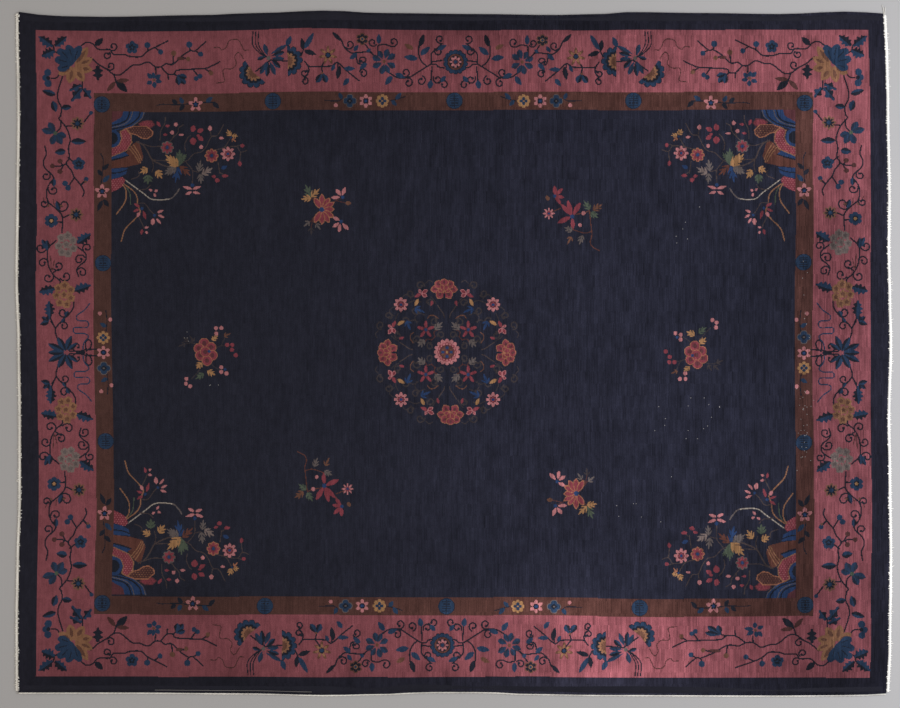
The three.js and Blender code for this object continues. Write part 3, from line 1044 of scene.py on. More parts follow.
# The rock, grasses and flowering branches in the upper left corner of the field.
CORNER_GROUP: list[Motif] = [
    Patch([(345, 244), (308, 244), (311, 236), (320, 228.5), (331, 226), (345, 222)], Yarn.AZURE),
    *stems(
        Yarn.INK, 1.5,
        [(323.5, 244), (326, 236), (332, 231.5), (345, 228)],
        [(313, 244), (316, 236), (326, 229), (345, 224.5)],
    ),
    *stems(
        Yarn.GREY, 0.8,
        [(320.5, 244), (323.5, 235.5), (331, 229.8), (345, 226)], [(309, 244), (312, 236), (321, 228.6)],
    ),
    Patch([(345, 244), (330, 244), (331.5, 238), (334, 236), (345, 230)], Yarn.MAROON),
    Patch(
        [(298.5, 230), (303, 226.7), (312, 227), (315, 231), (310, 233.8), (302, 234)], Yarn.RED,
        Yarn.MAROON, Yarn.MAROON,
    ),
    Patch(
        [(327, 225.9), (320, 228.3), (306.7, 228.3), (300.5, 222.8), (301.3, 218.9), (306.7, 215.5),
         (312.2, 216.6), (316.8, 219.7), (323.1, 221.2)],
        Yarn.RUST, Yarn.OCHRE, Yarn.TAN,
    ),
    Patch(
        [(324.6, 204.9), (320.7, 210.3), (314.5, 213.5), (309.8, 197.1), (313, 190.1), (326.2, 187),
         (345, 185), (345, 192), (330.9, 195.5)],
        Yarn.CLAY,
    ),
    *stems(
        Yarn.TAN, 0.9, [(323.9, 205.7), (318.4, 198.7), (314.5, 191.6)],
        [(322.3, 207.7), (316.1, 199.4), (312.5, 191.2)], [(320, 209.9), (314.5, 201), (311.4, 194)],
    ),
    Patch([(345, 193), (345, 198), (330.1, 203.3), (323.9, 198.7), (330.9, 196.3)], Yarn.AZURE),
    *stems(Yarn.INK, 1.2, [(345, 193), (332, 196.3), (324.5, 198.7)]),
    Patch(
        [(333.2, 222.8), (327.8, 225.9), (322.3, 219.7), (321.5, 211.9), (326.2, 204.1), (345, 196),
         (345, 204), (334, 209.6), (331.6, 215.8)],
        Yarn.RED, Yarn.TAN, Yarn.PINK,
    ),
    Bloom((341.8, 215.8), (Ring(9.2, Yarn.AZURE), Ring(6.2, Yarn.INK))),
    Patch([(345, 185), (325.4, 186.2), (327, 180), (334, 176.1), (345, 174)], Yarn.AZURE),
    *stems(Yarn.INK, 1.2, [(345, 180), (333, 181.5), (326, 184)]),
    Patch(
        [(345, 173), (330.9, 176.8), (327.8, 173.7), (330.1, 167.5), (336.3, 163.6), (345, 160)],
        Yarn.RED, None, Yarn.PINK,
    ),
    *stems(
        Yarn.GREY, 1.3,
        [(327.8, 173.7), (318.4, 166.7), (309.8, 160.5), (301.3, 154.3), (284.1, 154.3), (277.1, 159.7),
         (274, 164.4)],
    ),
    *stems(
        Yarn.CREAM, 0.8,
        [(327, 173), (318, 166.3), (309.8, 160.2), (301.5, 154.4), (292, 153.6), (284, 154.4)],
    ),
    *stems(
        Yarn.TAN, 1.2,
        [(330.1, 169.1), (327, 162.8), (327.8, 151.9), (336.3, 139.5)],
        [(328.5, 169.1), (320, 162.8), (316.1, 156.6), (315.3, 148.8), (313, 141), (318.4, 134),
         (327.8, 123.9), (331.6, 112.2)],
    ),
    *stems(Yarn.GREEN, 1.0, [(326.2, 165.9), (323.1, 159.7), (322.3, 148.8)]),
    *stems(
        Yarn.TWIG, 1.5,
        [(316.8, 212.7), (310.6, 209.6), (306, 203.3), (301.3, 194.8), (293.5, 190.1), (284.1, 187),
         (277.9, 187.8)],
    ),
    *stems(
        Yarn.TWIG, 0.9, [(312.2, 211.1), (302.8, 208), (292.7, 208)], [(299.7, 194), (285.7, 193.2)],
        [(301.3, 194.8), (299.7, 187.8), (301.3, 181.5)],
        [(293.5, 214.2), (292.7, 223.6), (288.8, 231.4), (288, 237.6)],
        [(285.7, 211.1), (281, 215.8), (279.5, 220.5)],
        [(281, 215.8), (275.6, 222), (274.8, 226.7), (270.1, 229.8)],
        [(267.8, 203.3), (268.6, 209.6), (266.2, 215.8), (263.1, 218.9)],
        [(271.7, 190.9), (265.4, 194), (259.2, 200.2), (251.4, 202.6), (246.8, 208), (242.1, 217.3),
         (235.9, 218.9), (229.6, 229.8)],
        [(242.1, 218.1), (243.3, 223.6)], [(267, 191.6), (260.8, 183.1), (260.8, 170.6)],
        [(260.8, 183.1), (254.5, 181.5)], [(242.1, 203.3), (229.6, 206.4), (223.4, 215)],
        [(229.6, 206.4), (217.2, 207.2), (212.5, 201.8), (206.3, 203.3)],
        [(218.7, 207.2), (212.5, 208.8)], [(212.5, 201.8), (213.7, 191.6)],
        [(235.1, 191.6), (233.5, 180)], [(233.5, 181.5), (228.1, 177.6)],
        [(314.5, 182.3), (314.5, 177.6), (321.5, 174.5)],
        [(316.8, 163.6), (307.5, 164.4), (302.8, 168.3)],
        [(315.3, 150), (308.4, 150), (303, 143), (299.5, 139.5)], [(315, 138), (311, 130), (309, 125)],
    ),
    *jagged(Yarn.AZURE, 2, (274.8, 187.4, 278.2, 170.4, 8.6)),
    *jagged(Yarn.CLAY, 2, (273.5, 188, 262.2, 177.6, 7.6)),
    *jagged(Yarn.GREY, 3, (276.5, 187.2, 289, 179.2, 8.8)),
    *jagged(Yarn.GREEN, 3, (274.4, 187, 273.6, 205, 9), (273.2, 192, 266.6, 200.5, 5.4)),
    *jagged(Yarn.GOLD, 3, (274.4, 187, 288, 199.4, 10)),
    *jagged(Yarn.GOLD, 2, (297, 183.6, 291, 175, 8.2), (221.6, 218.1, 215.2, 217.6, 4.6)),
    *jagged(Yarn.OCHRE, 1, (221.1, 215.8, 217.2, 211.8, 4.6)),
    *jagged(Yarn.GREY, 2, (254.2, 181.5, 252.4, 194, 7.2), (253, 180.2, 252, 169.4, 6.4)),
    *jagged(Yarn.GOLD, 2, (305.2, 185.6, 313.6, 180.8, 7.4), (222.7, 217.6, 226, 224.6, 6)),
    *jagged(Yarn.GREEN, 2, (305.4, 179.2, 305, 169, 9.4)),
    *jagged(Yarn.ASH, 2, (251.6, 179, 240.4, 186, 7.8)),
    *leaves(Yarn.AZURE, (232, 185, 226, 187.6, 3.8)),
    *leaves(
        Yarn.RED, (296.6, 233.2, 293.2, 228, 3.2), (288, 228.6, 283.4, 229, 2.8),
        (290.4, 219.7, 285.7, 220, 2.4), (213.7, 192.4, 213.1, 187, 3.6), (237.1, 176.5, 241.8, 177.6, 3),
        (235.5, 175.3, 236.6, 170.9, 5), (231.2, 177.6, 225, 177.6, 3.4),
        (261.2, 222.6, 259.5, 229.2, 5.4), (256.1, 222.4, 249.9, 225.3, 4.4),
        (256.9, 218.6, 253.3, 218.9, 2.6), (255.3, 217.3, 249.9, 213.9, 4.4),
        (260.8, 216.6, 259.8, 209.2, 6.6), (313.4, 146.5, 319.2, 150.1, 2.8),
        (313.7, 144.1, 320, 141.8, 2.6), (309.8, 142.6, 307.2, 134, 3), (310.6, 123.9, 311.9, 118.4, 2.8),
    ),
    *leaves(
        Yarn.PINK, (274.8, 219.7, 269.4, 219.7, 2.6), (234.3, 216.1, 229.6, 215.8, 2.6),
        (261.0, 164.4, 270.2, 167, 3), (260.4, 164.4, 252, 167.2, 3), (261.4, 161.6, 267.8, 158.8, 3),
        (260.2, 161.6, 253, 159.6, 3), (301, 162.5, 304.2, 164.6, 2.4), (298.5, 162, 295.2, 163.6, 2.6),
        (299.5, 160, 297, 156.6, 2.6), (313.4, 141, 316.1, 136.2, 3.4), (295.8, 140.7, 289.4, 143.1, 2.6),
        (295, 138.7, 288.6, 135.5, 2.4), (296.6, 134.8, 292, 129.5, 2.4), (299.7, 134.8, 300.8, 128, 4.2),
        (308.3, 125.4, 304.2, 126.3, 2.4), (307.8, 121.6, 304.9, 119.9, 2.4),
        (243.2, 223.4, 243.5, 228.6, 4.2), (277.7, 228, 277.4, 232.4, 4),
    ),
    *dots(Yarn.PINK, (281.3, 222, 1.9), (252.2, 207.2, 1.9)),
    *dots(Yarn.RED, (210.9, 208, 1.9)),
    *dots(Yarn.AZURE, (311.1, 144.9, 1.5), (298.5, 138.2, 1.4), (260.8, 168.4, 1.8), (222.6, 216.6, 1)),
    *blooms(RED_ROSETTE, (286.2, 206.8)),
    *blooms(GILT_ROSETTE, (241.6, 198.2)),
    *blooms(PINK_ROSETTE, (225.3, 199.9)),
]

# One eighth of the medallion's scrolls from its centre, near the +Y arm.
MEDALLION_SCROLLS: list[Motif] = [
    *stems(
        Yarn.SCROLL, 1.0, [(26, 50), (32, 51.5), (38.5, 49)],
        [(50, 46.5), (56.5, 43), (57, 38.5), (53, 36)], [(14.5, 70), (18, 71.5), (21, 69)],
        [(22, 37), (28, 38.5), (32, 34.5), (30, 29)], [(16, 55.5), (13, 52), (11, 48)],
    ),
    *stems(Yarn.TWIG, 1.0, [(2.5, 34.5), (3.5, 38), (7, 43), (9.5, 47)]),
    *stems(Yarn.OLIVE, 1.0, [(9, 33.5), (12.5, 36.2), (17, 36.4), (19.5, 33.5)]),
    *stems(Yarn.RUST, 1.0, [(11.5, 15.5), (15.5, 12.5), (20, 13), (22, 9.5)]),
    *curls(Yarn.SCROLL, 1, (16.5, 49.2, 20.5, 49), (36.5, 58.5, 33, 56.5), (31.5, 41.5, 28, 39.5)),
    *curls(Yarn.SCROLL, -1, (27, 66.5, 22.5, 66), (12.5, 29.5, 9.5, 33)),
    *curls(Yarn.SCROLL, 1, (6, 17, 9.5, 16)),
]

# One eighth of the medallion's leaves and buds, near the +Y arm.
MEDALLION_SPRAY: list[Motif] = [
    *jagged(Yarn.AZURE, 1, (26.6, 44, 16.4, 39.6, 8)),
    *leaves(Yarn.GOLD, (22.5, 53, 26.3, 46, 3.4)),
    *leaves(Yarn.RED, (8.4, 51.3, 10, 46, 2.8), (20, 58, 26.4, 55, 3.4)),
    *petals((19.8, 58.4), [(13.2, 62, 4), (14, 55.4, 4), (22, 62.5, 3)], Yarn.PINK, Yarn.RED),
]

# One quarter of the medallion.
MEDALLION_QUARTER: list[Motif] = [
    *jagged(Yarn.GREY, 2, (12.4, 22, 4.5, 30, 7.4), (22.2, 12.4, 29.4, 5.2, 7.4)),
    *blooms(RED_STAR, (21.2, 22.4)),
    *blooms(PINK_ROSETTE, (46, 47.4)),
]

# A peony that opens outward, its notch toward the middle.
MEDALLION_PEONY: list[Motif] = [
    *petals(
        (0, 1.5),
        [(-13.6, -1, 8.5), (13.6, -1, 8.5), (-6.8, -9.6, 9.4), (6.8, -9.6, 9.4), (-9.6, 6.8, 8.6),
         (9.6, 6.8, 8.6), (0, 10.4, 9.2)],
        Yarn.OCHRE, Yarn.RED, Yarn.MAROON,
    ),
    *petals(
        (0, -3),
        [(-6.4, -0.5, 5), (6.4, -0.5, 5), (-3.4, 4.6, 5), (3.4, 4.6, 5)], Yarn.OCHRE, Yarn.RED, None, 0.7,
    ),
    *leaves(Yarn.NAVY, (0, -3.6, 0, -12, 2.2)),
]

MEDALLION_HEART: list[Motif] = [
    *blooms(
        (Ring(13.2, Yarn.PINK, 16, 0.2, 0.7), Ring(9.8, Yarn.RED, 16, 0.14),
         Ring(9.2, Yarn.PINK, 16, 0.3, 0.8), Ring(7.4, Yarn.MAROON), Ring(6.8, Yarn.OLIVE, 12, 0.5, 1.2),
         Ring(3.8, Yarn.MAROON, 4, 0.3)),
        (0, 0),
    ),
    *dots(Yarn.AZURE, (4.2, 0, 1.6), (-4.2, 0, 1.6), (0, 4.4, 1.6), (0, -4.4, 1.6)),
    *dots(Yarn.GOLD, (0, 0, 1.3)),
]

# Sprigs in the field, about their main flowers, +X to the right.
CHRYSANTHEMUM_SPRIG: list[Motif] = [
    *stems(
        Yarn.RUST, 0.9, [(-10, 12), (-4, 4), (0, 0)], [(0, 0), (-9, -9), (-13, -14)],
        [(4, 3), (14, 9), (21, 12)], [(4, -4), (13, -9), (19, -11)], [(14, 9), (23, 7)],
        [(-9, -9), (-6, -14)], [(-9, -10), (-11, -19)],
    ),
    *jagged(Yarn.GREEN, 2, (-11, 12.5, -16.5, 25.5, 8)),
    *jagged(Yarn.GOLD, 2, (-11, 12.4, -2, 21, 7), (-10, 12, -21, 10.4, 7)),
    *petals(
        (0, 0),
        [(0.3, 16, 6.2), (-7.5, 12, 6), (8, 12, 6), (12.5, 7.5, 6), (13, 0.5, 6), (12, -7.5, 6),
         (7.5, -13, 6), (0.3, -15, 6.2), (-7.5, -13, 6)],
        Yarn.OCHRE, Yarn.RED, None, 0.85,
    ),
    *dots(Yarn.AZURE, (0, 0, 2.4), (21, 12.5, 1.7), (19.2, -11.6, 1.7)),
    *leaves(
        Yarn.PINK, (20.5, 14, 23.5, 22.5, 3.8), (19.5, 14, 14, 20.5, 3.8), (18.5, 12.5, 9.5, 12, 3.8),
        (18, -10.5, 11, -7.5, 3.6), (17.5, -13, 11, -17.5, 3.6), (18.5, -14, 17, -22.5, 3.8),
        (20.5, -13.5, 26.5, -19.8, 3.8), swell=1.2,
    ),
    *leaves(Yarn.OLIVE, (23.5, 7, 29.5, 6.2, 4)),
    *jagged(Yarn.GREY, 1, (-12, -11.6, -18.4, -17, 6.6), (-5.6, -13.6, -1.2, -20.4, 6)),
    *jagged(Yarn.SCROLL, 1, (-11, -17.6, -10.2, -25.6, 6)),
]
POPPY_SPRIG: list[Motif] = [
    *stems(
        Yarn.CLAY, 0.9,
        [(17, 7), (18.5, -6.7), (19.5, -18.3), (18, -25), (20, -30), (27, -34)],
        [(0.7, -13), (12, -16.4), (19, -15)], [(2, 2), (11, 3.5), (17, 6)],
        [(-3, 5), (-12, 12), (-17, 19)], [(-12, 8), (-22, 4)],
    ),
    *leaves(
        Yarn.RED, (-0.5, 1, -4.6, 16.4, 4.6), (-1, 1, -11.2, 12.4, 4.2), (0.5, 1, 8.2, 14, 5),
        (-1, 0, -14.6, -6.4, 4.8), (0, -1, 0.8, -12.6, 4.2), (-17, 21, -17.6, 30.4, 4.2),
        (-17, 21, -9.6, 28, 4), (-17, 20.5, -8, 19, 3.6), (-17, 20, -11.4, 12.4, 3.6), swell=1.15,
    ),
    *blooms((Ring(5.9, Yarn.PINK, 8, 0.72, 1.3), Ring(2.3, Yarn.RED), Ring(1.3, Yarn.AZURE)), (-23.4, 3)),
    *dots(Yarn.AZURE, (0, 0, 2.3), (-17.7, 20.5, 1.8)),
    *leaves(Yarn.OLIVE, (-23.5, 16, -26, 21, 3.6)),
    *jagged(Yarn.OLIVE, 2, (20.6, 6, 30, 12.4, 7.4)),
    *jagged(Yarn.GREEN, 2, (17.6, 6.6, 11.6, 15.8, 6.8), (18, 4.4, 26, -1.6, 6.8)),
    *dots(Yarn.PINK, (11.1, 3.4, 2.1), (7.8, -8.6, 1.8)),
    *jagged(Yarn.GREY, 2, (0.4, -14.6, -8, -10.6, 6.6), (10.4, -18.6, 7, -28, 6.6)),
    *jagged(Yarn.OLIVE, 1, (-0.6, -19.6, -5, -28, 6.2)),
]
PEONY_SPRIG: list[Motif] = [
    *stems(
        Yarn.SCROLL, 0.9, [(4, 8), (9, 15), (13, 20)], [(7, 2), (16, 6), (24, 5)],
        [(3, -9), (10, -16), (18, -19)], [(-3, -8), (-6, -18), (-14, -27)], [(-6, 6), (-14, 9), (-22, 7)],
        [(16, 6), (20, 15)],
    ),
    *peony(
        (0, 0),
        [(-1, 8.6, 4.6), (-6.4, 3.2, 4.6), (-5, -3.8, 4.6), (6, 4.6, 4.4), (7, -3.6, 4.6), (1.6, -9, 4.6),
         (0, 0, 4.6)],
        Yarn.RED, Yarn.OCHRE, Yarn.MAROON,
    ),
    *dots(Yarn.AZURE, (3.9, 0.5, 1.5), (19.4, -17.6, 1.4)),
    *dots(
        Yarn.PINK, (11, 23.8, 2), (16.4, 24, 2), (11.3, 18.4, 2), (15.9, -15.5, 2), (15.7, -20.3, 2),
        (21, -21.8, 2), (-19.4, -27.5, 2), (-20, -32.4, 2), (-15.8, -34.9, 2),
    ),
    *dots(Yarn.RED, (22, 7, 2.1), (27.2, 7, 2.1), (26.7, 2, 2.1), (30.6, -3.4, 2.1)),
    *jagged(
        Yarn.GOLD, 2, (6.6, 11.4, 13, 16.4, 5.2), (-3.6, -11, -9.4, -17.4, 6.8),
        (1.6, -19.4, 10, -23.6, 6.8),
    ),
    *jagged(Yarn.GREEN, 2, (-1.6, -21.6, -10.2, -27.8, 6.4)),
    *jagged(Yarn.OLIVE, 1, (18.6, 15.6, 25.6, 18.6, 5.4)),
    *jagged(
        Yarn.SCROLL, 1, (-11, 10, -15.6, 16, 5.6), (-19.6, 8, -27, 5.2, 5.4), (-17, 10, -22.6, 15.4, 5.2),
    ),
]


@dataclass(frozen=True)
class Spot:
    """A place on the chart whose effect fades out from its middle.

    Args:
        x: Its middle along X, in squares.
        y: Its middle along Y, in squares.
        wide: Spread along X.
        deep: Spread along Y.
    """

    x: float
    y: float
    wide: float
    deep: float

    def fade(self, x: Array, y: Array) -> Array:
        """How much reaches places X and Y: the exponential of minus their distance squared."""
        away = ((x - self.x) / self.wide) ** 2 + ((y - self.y) / self.deep) ** 2
        return np.exp(-away)


@dataclass(frozen=True)
class Wear(Spot):
    """A patch of knots worn down to the white foundation.

    Args:
        knots: How many knots are bare.
    """

    knots: int


WORN_PATCHES = tuple(
    Wear(*row)
    for row in (
        (350, -78, 7, 42, 38), (240, -70, 34, 30, 16), (-268, 15, 4, 6, 5), (-240, -33, 6, 2, 4),
        (240, 130, 14, 22, 6), (175, -160, 40, 24, 8), (351, 60, 5, 60, 10),
    )
)


@dataclass(frozen=True)
class PaintedLightPatch(Spot):
    """A place of painted light or painted shade: where the pile was brushed to lean toward the light it is
    painted with sheen, and where it leans away it is painted with shade.

    Args:
        gain: Share of painted light added, negative where painted shade takes light away.
    """

    gain: float


# Painted light and shade: broad patches of painted sheen or shade, and narrow dark ones along the near edge
# as painted shadows of its low folds.
PAINTED_LIGHT_PATCHES = tuple(
    PaintedLightPatch(*row)
    for row in (
        (150, -320, 95, 70, 0.66), (340, -245, 75, 70, -0.4), (345, -315, 70, 40, -0.22),
        (386, 90, 45, 85, -0.35), (386, -95, 45, 90, -0.3), (-387, 0, 40, 250, 0.12),
        (22, -295, 75, 42, 0.2), (130, -150, 190, 110, 0.14), (-220, 150, 150, 120, -0.09),
        (60, -253, 100, 14, 0.24), (260, -252, 50, 14, -0.12), (320, 50, 60, 110, -0.2),
        (0, 325, 120, 30, -0.2), (150, 290, 60, 40, -0.08), (-133, 250, 80, 25, -0.12),
        (-270, -250, 75, 25, -0.2), (-370, -325, 80, 30, -0.2), (-3, -126, 60, 60, 0.12),
        (120, 60, 120, 160, 0.12), (-103, -324, 5, 24, -0.3), (-31, -324, 6, 26, -0.25),
        (-6, -326, 5, 22, -0.3), (34, -324, 6, 26, -0.3), (96, -324, 7, 26, -0.3),
        (-222, -316, 30, 25, -0.2), (165, -336, 50, 20, 0.25), (60, 332, 420, 13, -0.16),
        (110, -235, 75, 40, 0.22), (110, -334, 60, 12, 0.3), (-225, -334, 130, 14, -0.2),
        (382, -334, 40, 20, -0.3), (245, -334, 45, 12, -0.12), (-280, 331, 150, 12, -0.16),
        (135, 331, 45, 12, -0.14), (426, -135, 12, 60, -0.2), (426, -303, 14, 40, -0.3),
        (250, 252, 130, 12, 0.12), (351, 210, 10, 45, 0.18), (351, -150, 10, 90, -0.22),
        (-60, 230, 160, 25, -0.13),
    )
)

# Where along X the pile is half rough and takes half its painted sheen, and over what length that comes, in
# squares.
ROUGH_MIDDLE = -60.0
ROUGH_OVER = 160.0

# Layers of the pile's mottle, partly painted sheen, and of its streaks: share, cell along X and along Y in
# squares, and seed.
MOTTLE_LAYERS = ((0.5, 9, 15, 3), (0.6, 4, 8, 4))
STREAK_LAYERS = ((0.6, 1.6, 46, 5), (0.4, 6, 120, 6))

# Their strength on smooth pile, and what rough pile adds, with more painted sheen toward the right.
MOTTLE = (0.08, 0.24)
STREAKS = (0.06, 0.06)


def roughness_and_sheen(x: Array) -> Array:
    """How rough the pile is and how much painted sheen it takes, from 0 at the left to 1 at the right."""
    return 0.5 + 0.5 * np.tanh((x - ROUGH_MIDDLE) / ROUGH_OVER)


def layered(x: Array, y: Array, layers: Sequence[tuple[float, float, float, int]]) -> Array:
    """Adds up layers of smooth scatter."""
    return sum(share * cloud(x, y, wide, deep, seed) for share, wide, deep, seed in layers)


def painted_light_and_mottle(x: Array, y: Array) -> Array:
    """Share of light the brushed pile gives back, painted into its colour as painted light and shade.

    Broad patches of painted light and painted shade lean one way or the other, and between them the pile is
    mottled, partly with painted sheen, more so toward the right, with fine streaks along the weft rows.

    Args:
        x: Places along X, in squares.
        y: Places along Y, in squares.

    Returns:
        Factors about 1.
    """
    # Painted light and shade of the patches.
    lean = np.ones(np.broadcast(x, y).shape)
    for patch in PAINTED_LIGHT_PATCHES:
        lean = lean + patch.gain * patch.fade(x, y)
    rough_and_sheen = roughness_and_sheen(x)
    # Mottle, partly painted sheen, stronger toward the right.
    mottle = (MOTTLE[0] + MOTTLE[1] * rough_and_sheen) * layered(x, y, MOTTLE_LAYERS)
    streaks = (STREAKS[0] + STREAKS[1] * rough_and_sheen) * layered(x, y, STREAK_LAYERS)
    return lean * (1 + mottle + streaks)


@dataclass(frozen=True)
class Quarter:
    """One quarter of the pattern, and how far its parts stand from an even mirror image.

    Args:
        flip_x: -1 for the left and 1 for the right.
        flip_y: -1 for the near half and 1 for the far one.
        corner: Move of the corner group, in squares.
        rock: Further slip of the rock's end of that group, by its own X.
        border: Slip of the long border, by its own X.
        band: Slip of the narrow band, by its own X.
    """

    flip_x: int
    flip_y: int
    corner: Point
    rock: Sequence[Point] = EVEN
    border: Sequence[Point] = EVEN
    band: Sequence[Point] = EVEN


QUARTERS = (
    Quarter(-1, 1, (0.5, 0)),
    Quarter(
        1, 1, (2.5, 0),
        rock=((290, 0), (308, -3.4)),
        border=((0, 2), (35, 3), (100, -2), (300, -3), (400, 0)),
    ),
    Quarter(
        -1, -1, (1.3, 2.4),
        border=((0, -11), (70, -7), (200, -5), (300, 0)),
        band=((70, -3), (180, -8), (300, 0)),
    ),
    Quarter(
        1, -1, (2.3, -1),
        border=((0, -11), (125, -14), (185, -12), (265, -15.5), (287, -2), (300, 3)),
        band=((70, -6), (180, 6), (300, 0)),
    ),
)


@dataclass
class Design:
    """The whole pattern of the carpet.

    Args:
        border: Half sizes of the rose border, in squares.
        band: Half sizes of the brown band.
        ground: Half sizes of the field.
        medallion: Centre of the medallion.
    """

    border: Point = (416.5, 323.5)
    band: Point = (359.0, 261.0)
    ground: Point = (341.5, 243.0)
    medallion: Point = (-6.0, 1.4)
    chart: KnotChart = field(default_factory=KnotChart)

    # How far the grounds' lines wander.
    WANDER = 0.7
    # The middles of the long border, the long band and the short band from the centre.
    BORDER_Y = 291.0
    BAND_Y = 252.3
    BAND_X = 350.0
    # The medallion's sprays: how far the upright ones lean and the level ones stand aside.
    SPRAY_LEAN = 3.0
    SPRAY_ASIDE = (3.5, 4.8)
    # The bare knots: their seed, their scatter as a share of the patch, and the reach of one.
    WEAR_SEED = 21
    WEAR_SPREAD = 0.6
    BARE_KNOT = 0.36

    def weave(self) -> KnotChart:
        """Draws the grounds, the motifs and the wear.

        Returns:
            The finished chart.
        """
        self.lay_grounds()
        self.draw_corners()
        for part in QUARTERS:
            self.place(SHORT_BORDER, Placing(part.flip_x, part.flip_y))
            self.place(LONG_BORDER, Placing(part.flip_x, part.flip_y, drift=part.border))
            self.place(BAND_MOTIFS, Placing(part.flip_x, part.flip_y, drift=part.band))
        self.draw_middles()
        self.draw_medallion()
        self.draw_sprigs()
        self.wear_knots()
        return self.chart

    def place(self, motifs: Iterable[Motif], placing: Placing) -> None:
        """Draws motifs in order at one placing."""
        for motif in motifs:
            motif.draw(self.chart, placing)

    def lay_grounds(self) -> None:
        """Lays the nested grounds, their lines wandering a little as hand weaving does."""
        x, y = np.meshgrid(self.chart.x, self.chart.y, indexing="ij")
        wander_x = x + self.WANDER * cloud(0 * x, y, 90, 60, 11)
        wander_y = y + self.WANDER * cloud(x, 0 * y, 60, 90, 12)

        def within(half: Point) -> Array:
            """True inside a rectangle about the centre."""
            return (np.abs(wander_x) < half[0]) & (np.abs(wander_y) < half[1])

        border, band, ground = within(self.border), within(self.band), within(self.ground)
        self.chart.yarn[border] = int(Yarn.ROSE)
        self.chart.yarn[band] = int(Yarn.BROWN)
        self.chart.yarn[ground] = int(Yarn.NAVY)
        upright = np.abs(x) - self.border[0] > np.abs(y) - self.border[1]
        self.chart.region[border & ~upright & (y > 0)] = int(Region.BORDER_FAR)
        self.chart.region[border & ~upright & (y <= 0)] = int(Region.BORDER_NEAR)
        self.chart.region[border & upright & (x < 0)] = int(Region.BORDER_LEFT)
        self.chart.region[border & upright & (x >= 0)] = int(Region.BORDER_RIGHT)
        self.chart.region[band] = int(Region.BAND)
        self.chart.region[ground] = int(Region.FIELD)

    def draw_corners(self) -> None:
        """Draws the corner groups and keeps what falls inside the field."""
        plain = self.chart.yarn.copy()
        for part in QUARTERS:
            self.place(CORNER_GROUP, Placing(part.flip_x, part.flip_y, False, *part.corner, part.rock))
        outside = self.chart.region != int(Region.FIELD)
        self.chart.yarn[outside] = plain[outside]

    def draw_middles(self) -> None:
        """Draws the flowers at the middle of each side."""
        for flip_y, rosette, roundel in ((1, 2.5, 1.5), (-1, -10.5, -6.5)):
            middle = Placing(1, flip_y)
            self.place(blooms(CENTRE_ROSETTE, (rosette, self.BORDER_Y)), middle)
            self.place(roundels((roundel, self.BAND_Y)), middle)
        for side in (-1, 1):
            turned = Placing(side, -side)
            self.place(blooms(BAND_GOLD, (self.BAND_X, 15)), turned)
            self.place(blooms(BAND_PINK, (self.BAND_X, 0)), turned)
            self.place(blooms(BAND_BLUE, (self.BAND_X, -16)), turned)

    def draw_medallion(self) -> None:
        """Draws the medallion from its eighths, its quarters, four peonies and its heart."""
        x, y = self.medallion
        for flip_x in (-1, 1):
            for flip_y in (-1, 1):
                for swap in (False, True):
                    self.place(MEDALLION_SCROLLS, Placing(flip_x, flip_y, swap, x, y))
                lean = x + self.SPRAY_LEAN * flip_x - self.SPRAY_LEAN * flip_y
                self.place(MEDALLION_SPRAY, Placing(flip_x, flip_y, False, lean, y))
                level_x = x - self.SPRAY_ASIDE[0] * flip_x
                level_y = y + self.SPRAY_ASIDE[1] * flip_y
                self.place(MEDALLION_SPRAY, Placing(flip_x, flip_y, True, level_x, level_y))
                self.place(MEDALLION_QUARTER, Placing(flip_x, flip_y, False, x, y))
        for flip_y, aside, away in ((1, -2.8, 63), (-1, 3.4, 62.6)):
            self.place(MEDALLION_PEONY, Placing(1, flip_y, False, x + aside, y + flip_y * away))
        for flip_x, away in ((1, 58.8), (-1, 59.5)):
            self.place(MEDALLION_PEONY, Placing(flip_x, 1, True, x + flip_x * away, y - 0.6))
        self.place(MEDALLION_HEART, Placing(x=x, y=y))

    def draw_sprigs(self) -> None:
        """Draws six sprigs, each of the second three its opposite turned half round."""
        for motifs, turn, x, y in (
            (CHRYSANTHEMUM_SPRIG, 1, -131, 143.5),
            (POPPY_SPRIG, 1, 119, 136.7),
            (PEONY_SPRIG, 1, -248, 1.1),
            (CHRYSANTHEMUM_SPRIG, -1, 123, -139.5),
            (POPPY_SPRIG, -1, -129, -132.5),
            (PEONY_SPRIG, -1, 243, -1.5),
        ):
            self.place(motifs, Placing(turn, turn, False, x, y))

    def wear_knots(self) -> None:
        """Bares scattered knots in the worn patches."""
        scatter = np.random.default_rng(self.WEAR_SEED)
        for patch in WORN_PATCHES:
            spread = (self.WEAR_SPREAD * patch.wide, self.WEAR_SPREAD * patch.deep)
            places = scatter.normal(0, 1, (patch.knots, 2)) * spread + (patch.x, patch.y)
            self.chart.stamp(places, self.BARE_KNOT, Yarn.COTTON)


@dataclass(frozen=True)
class Skew(Spot):
    """A place where the cloth is drawn aside, so that its lines are not straight.

    Args:
        along: Move along X at its middle, in squares.
        across: Move along Y at its middle.
    """

    along: float
    across: float


SKEWS = tuple(
    Skew(*row)
    for row in (
        (-370, -115, 190, 120, 3.0, 2.6), (-300, 250, 110, 70, 0.6, -1.8), (-128, 310, 60, 40, 0.0, 1.6),
        (400, -130, 60, 110, 1.8, 2.6), (400, 110, 60, 60, 0.6, 2.6), (260, -250, 150, 60, 0.4, -2.0),
    )
)


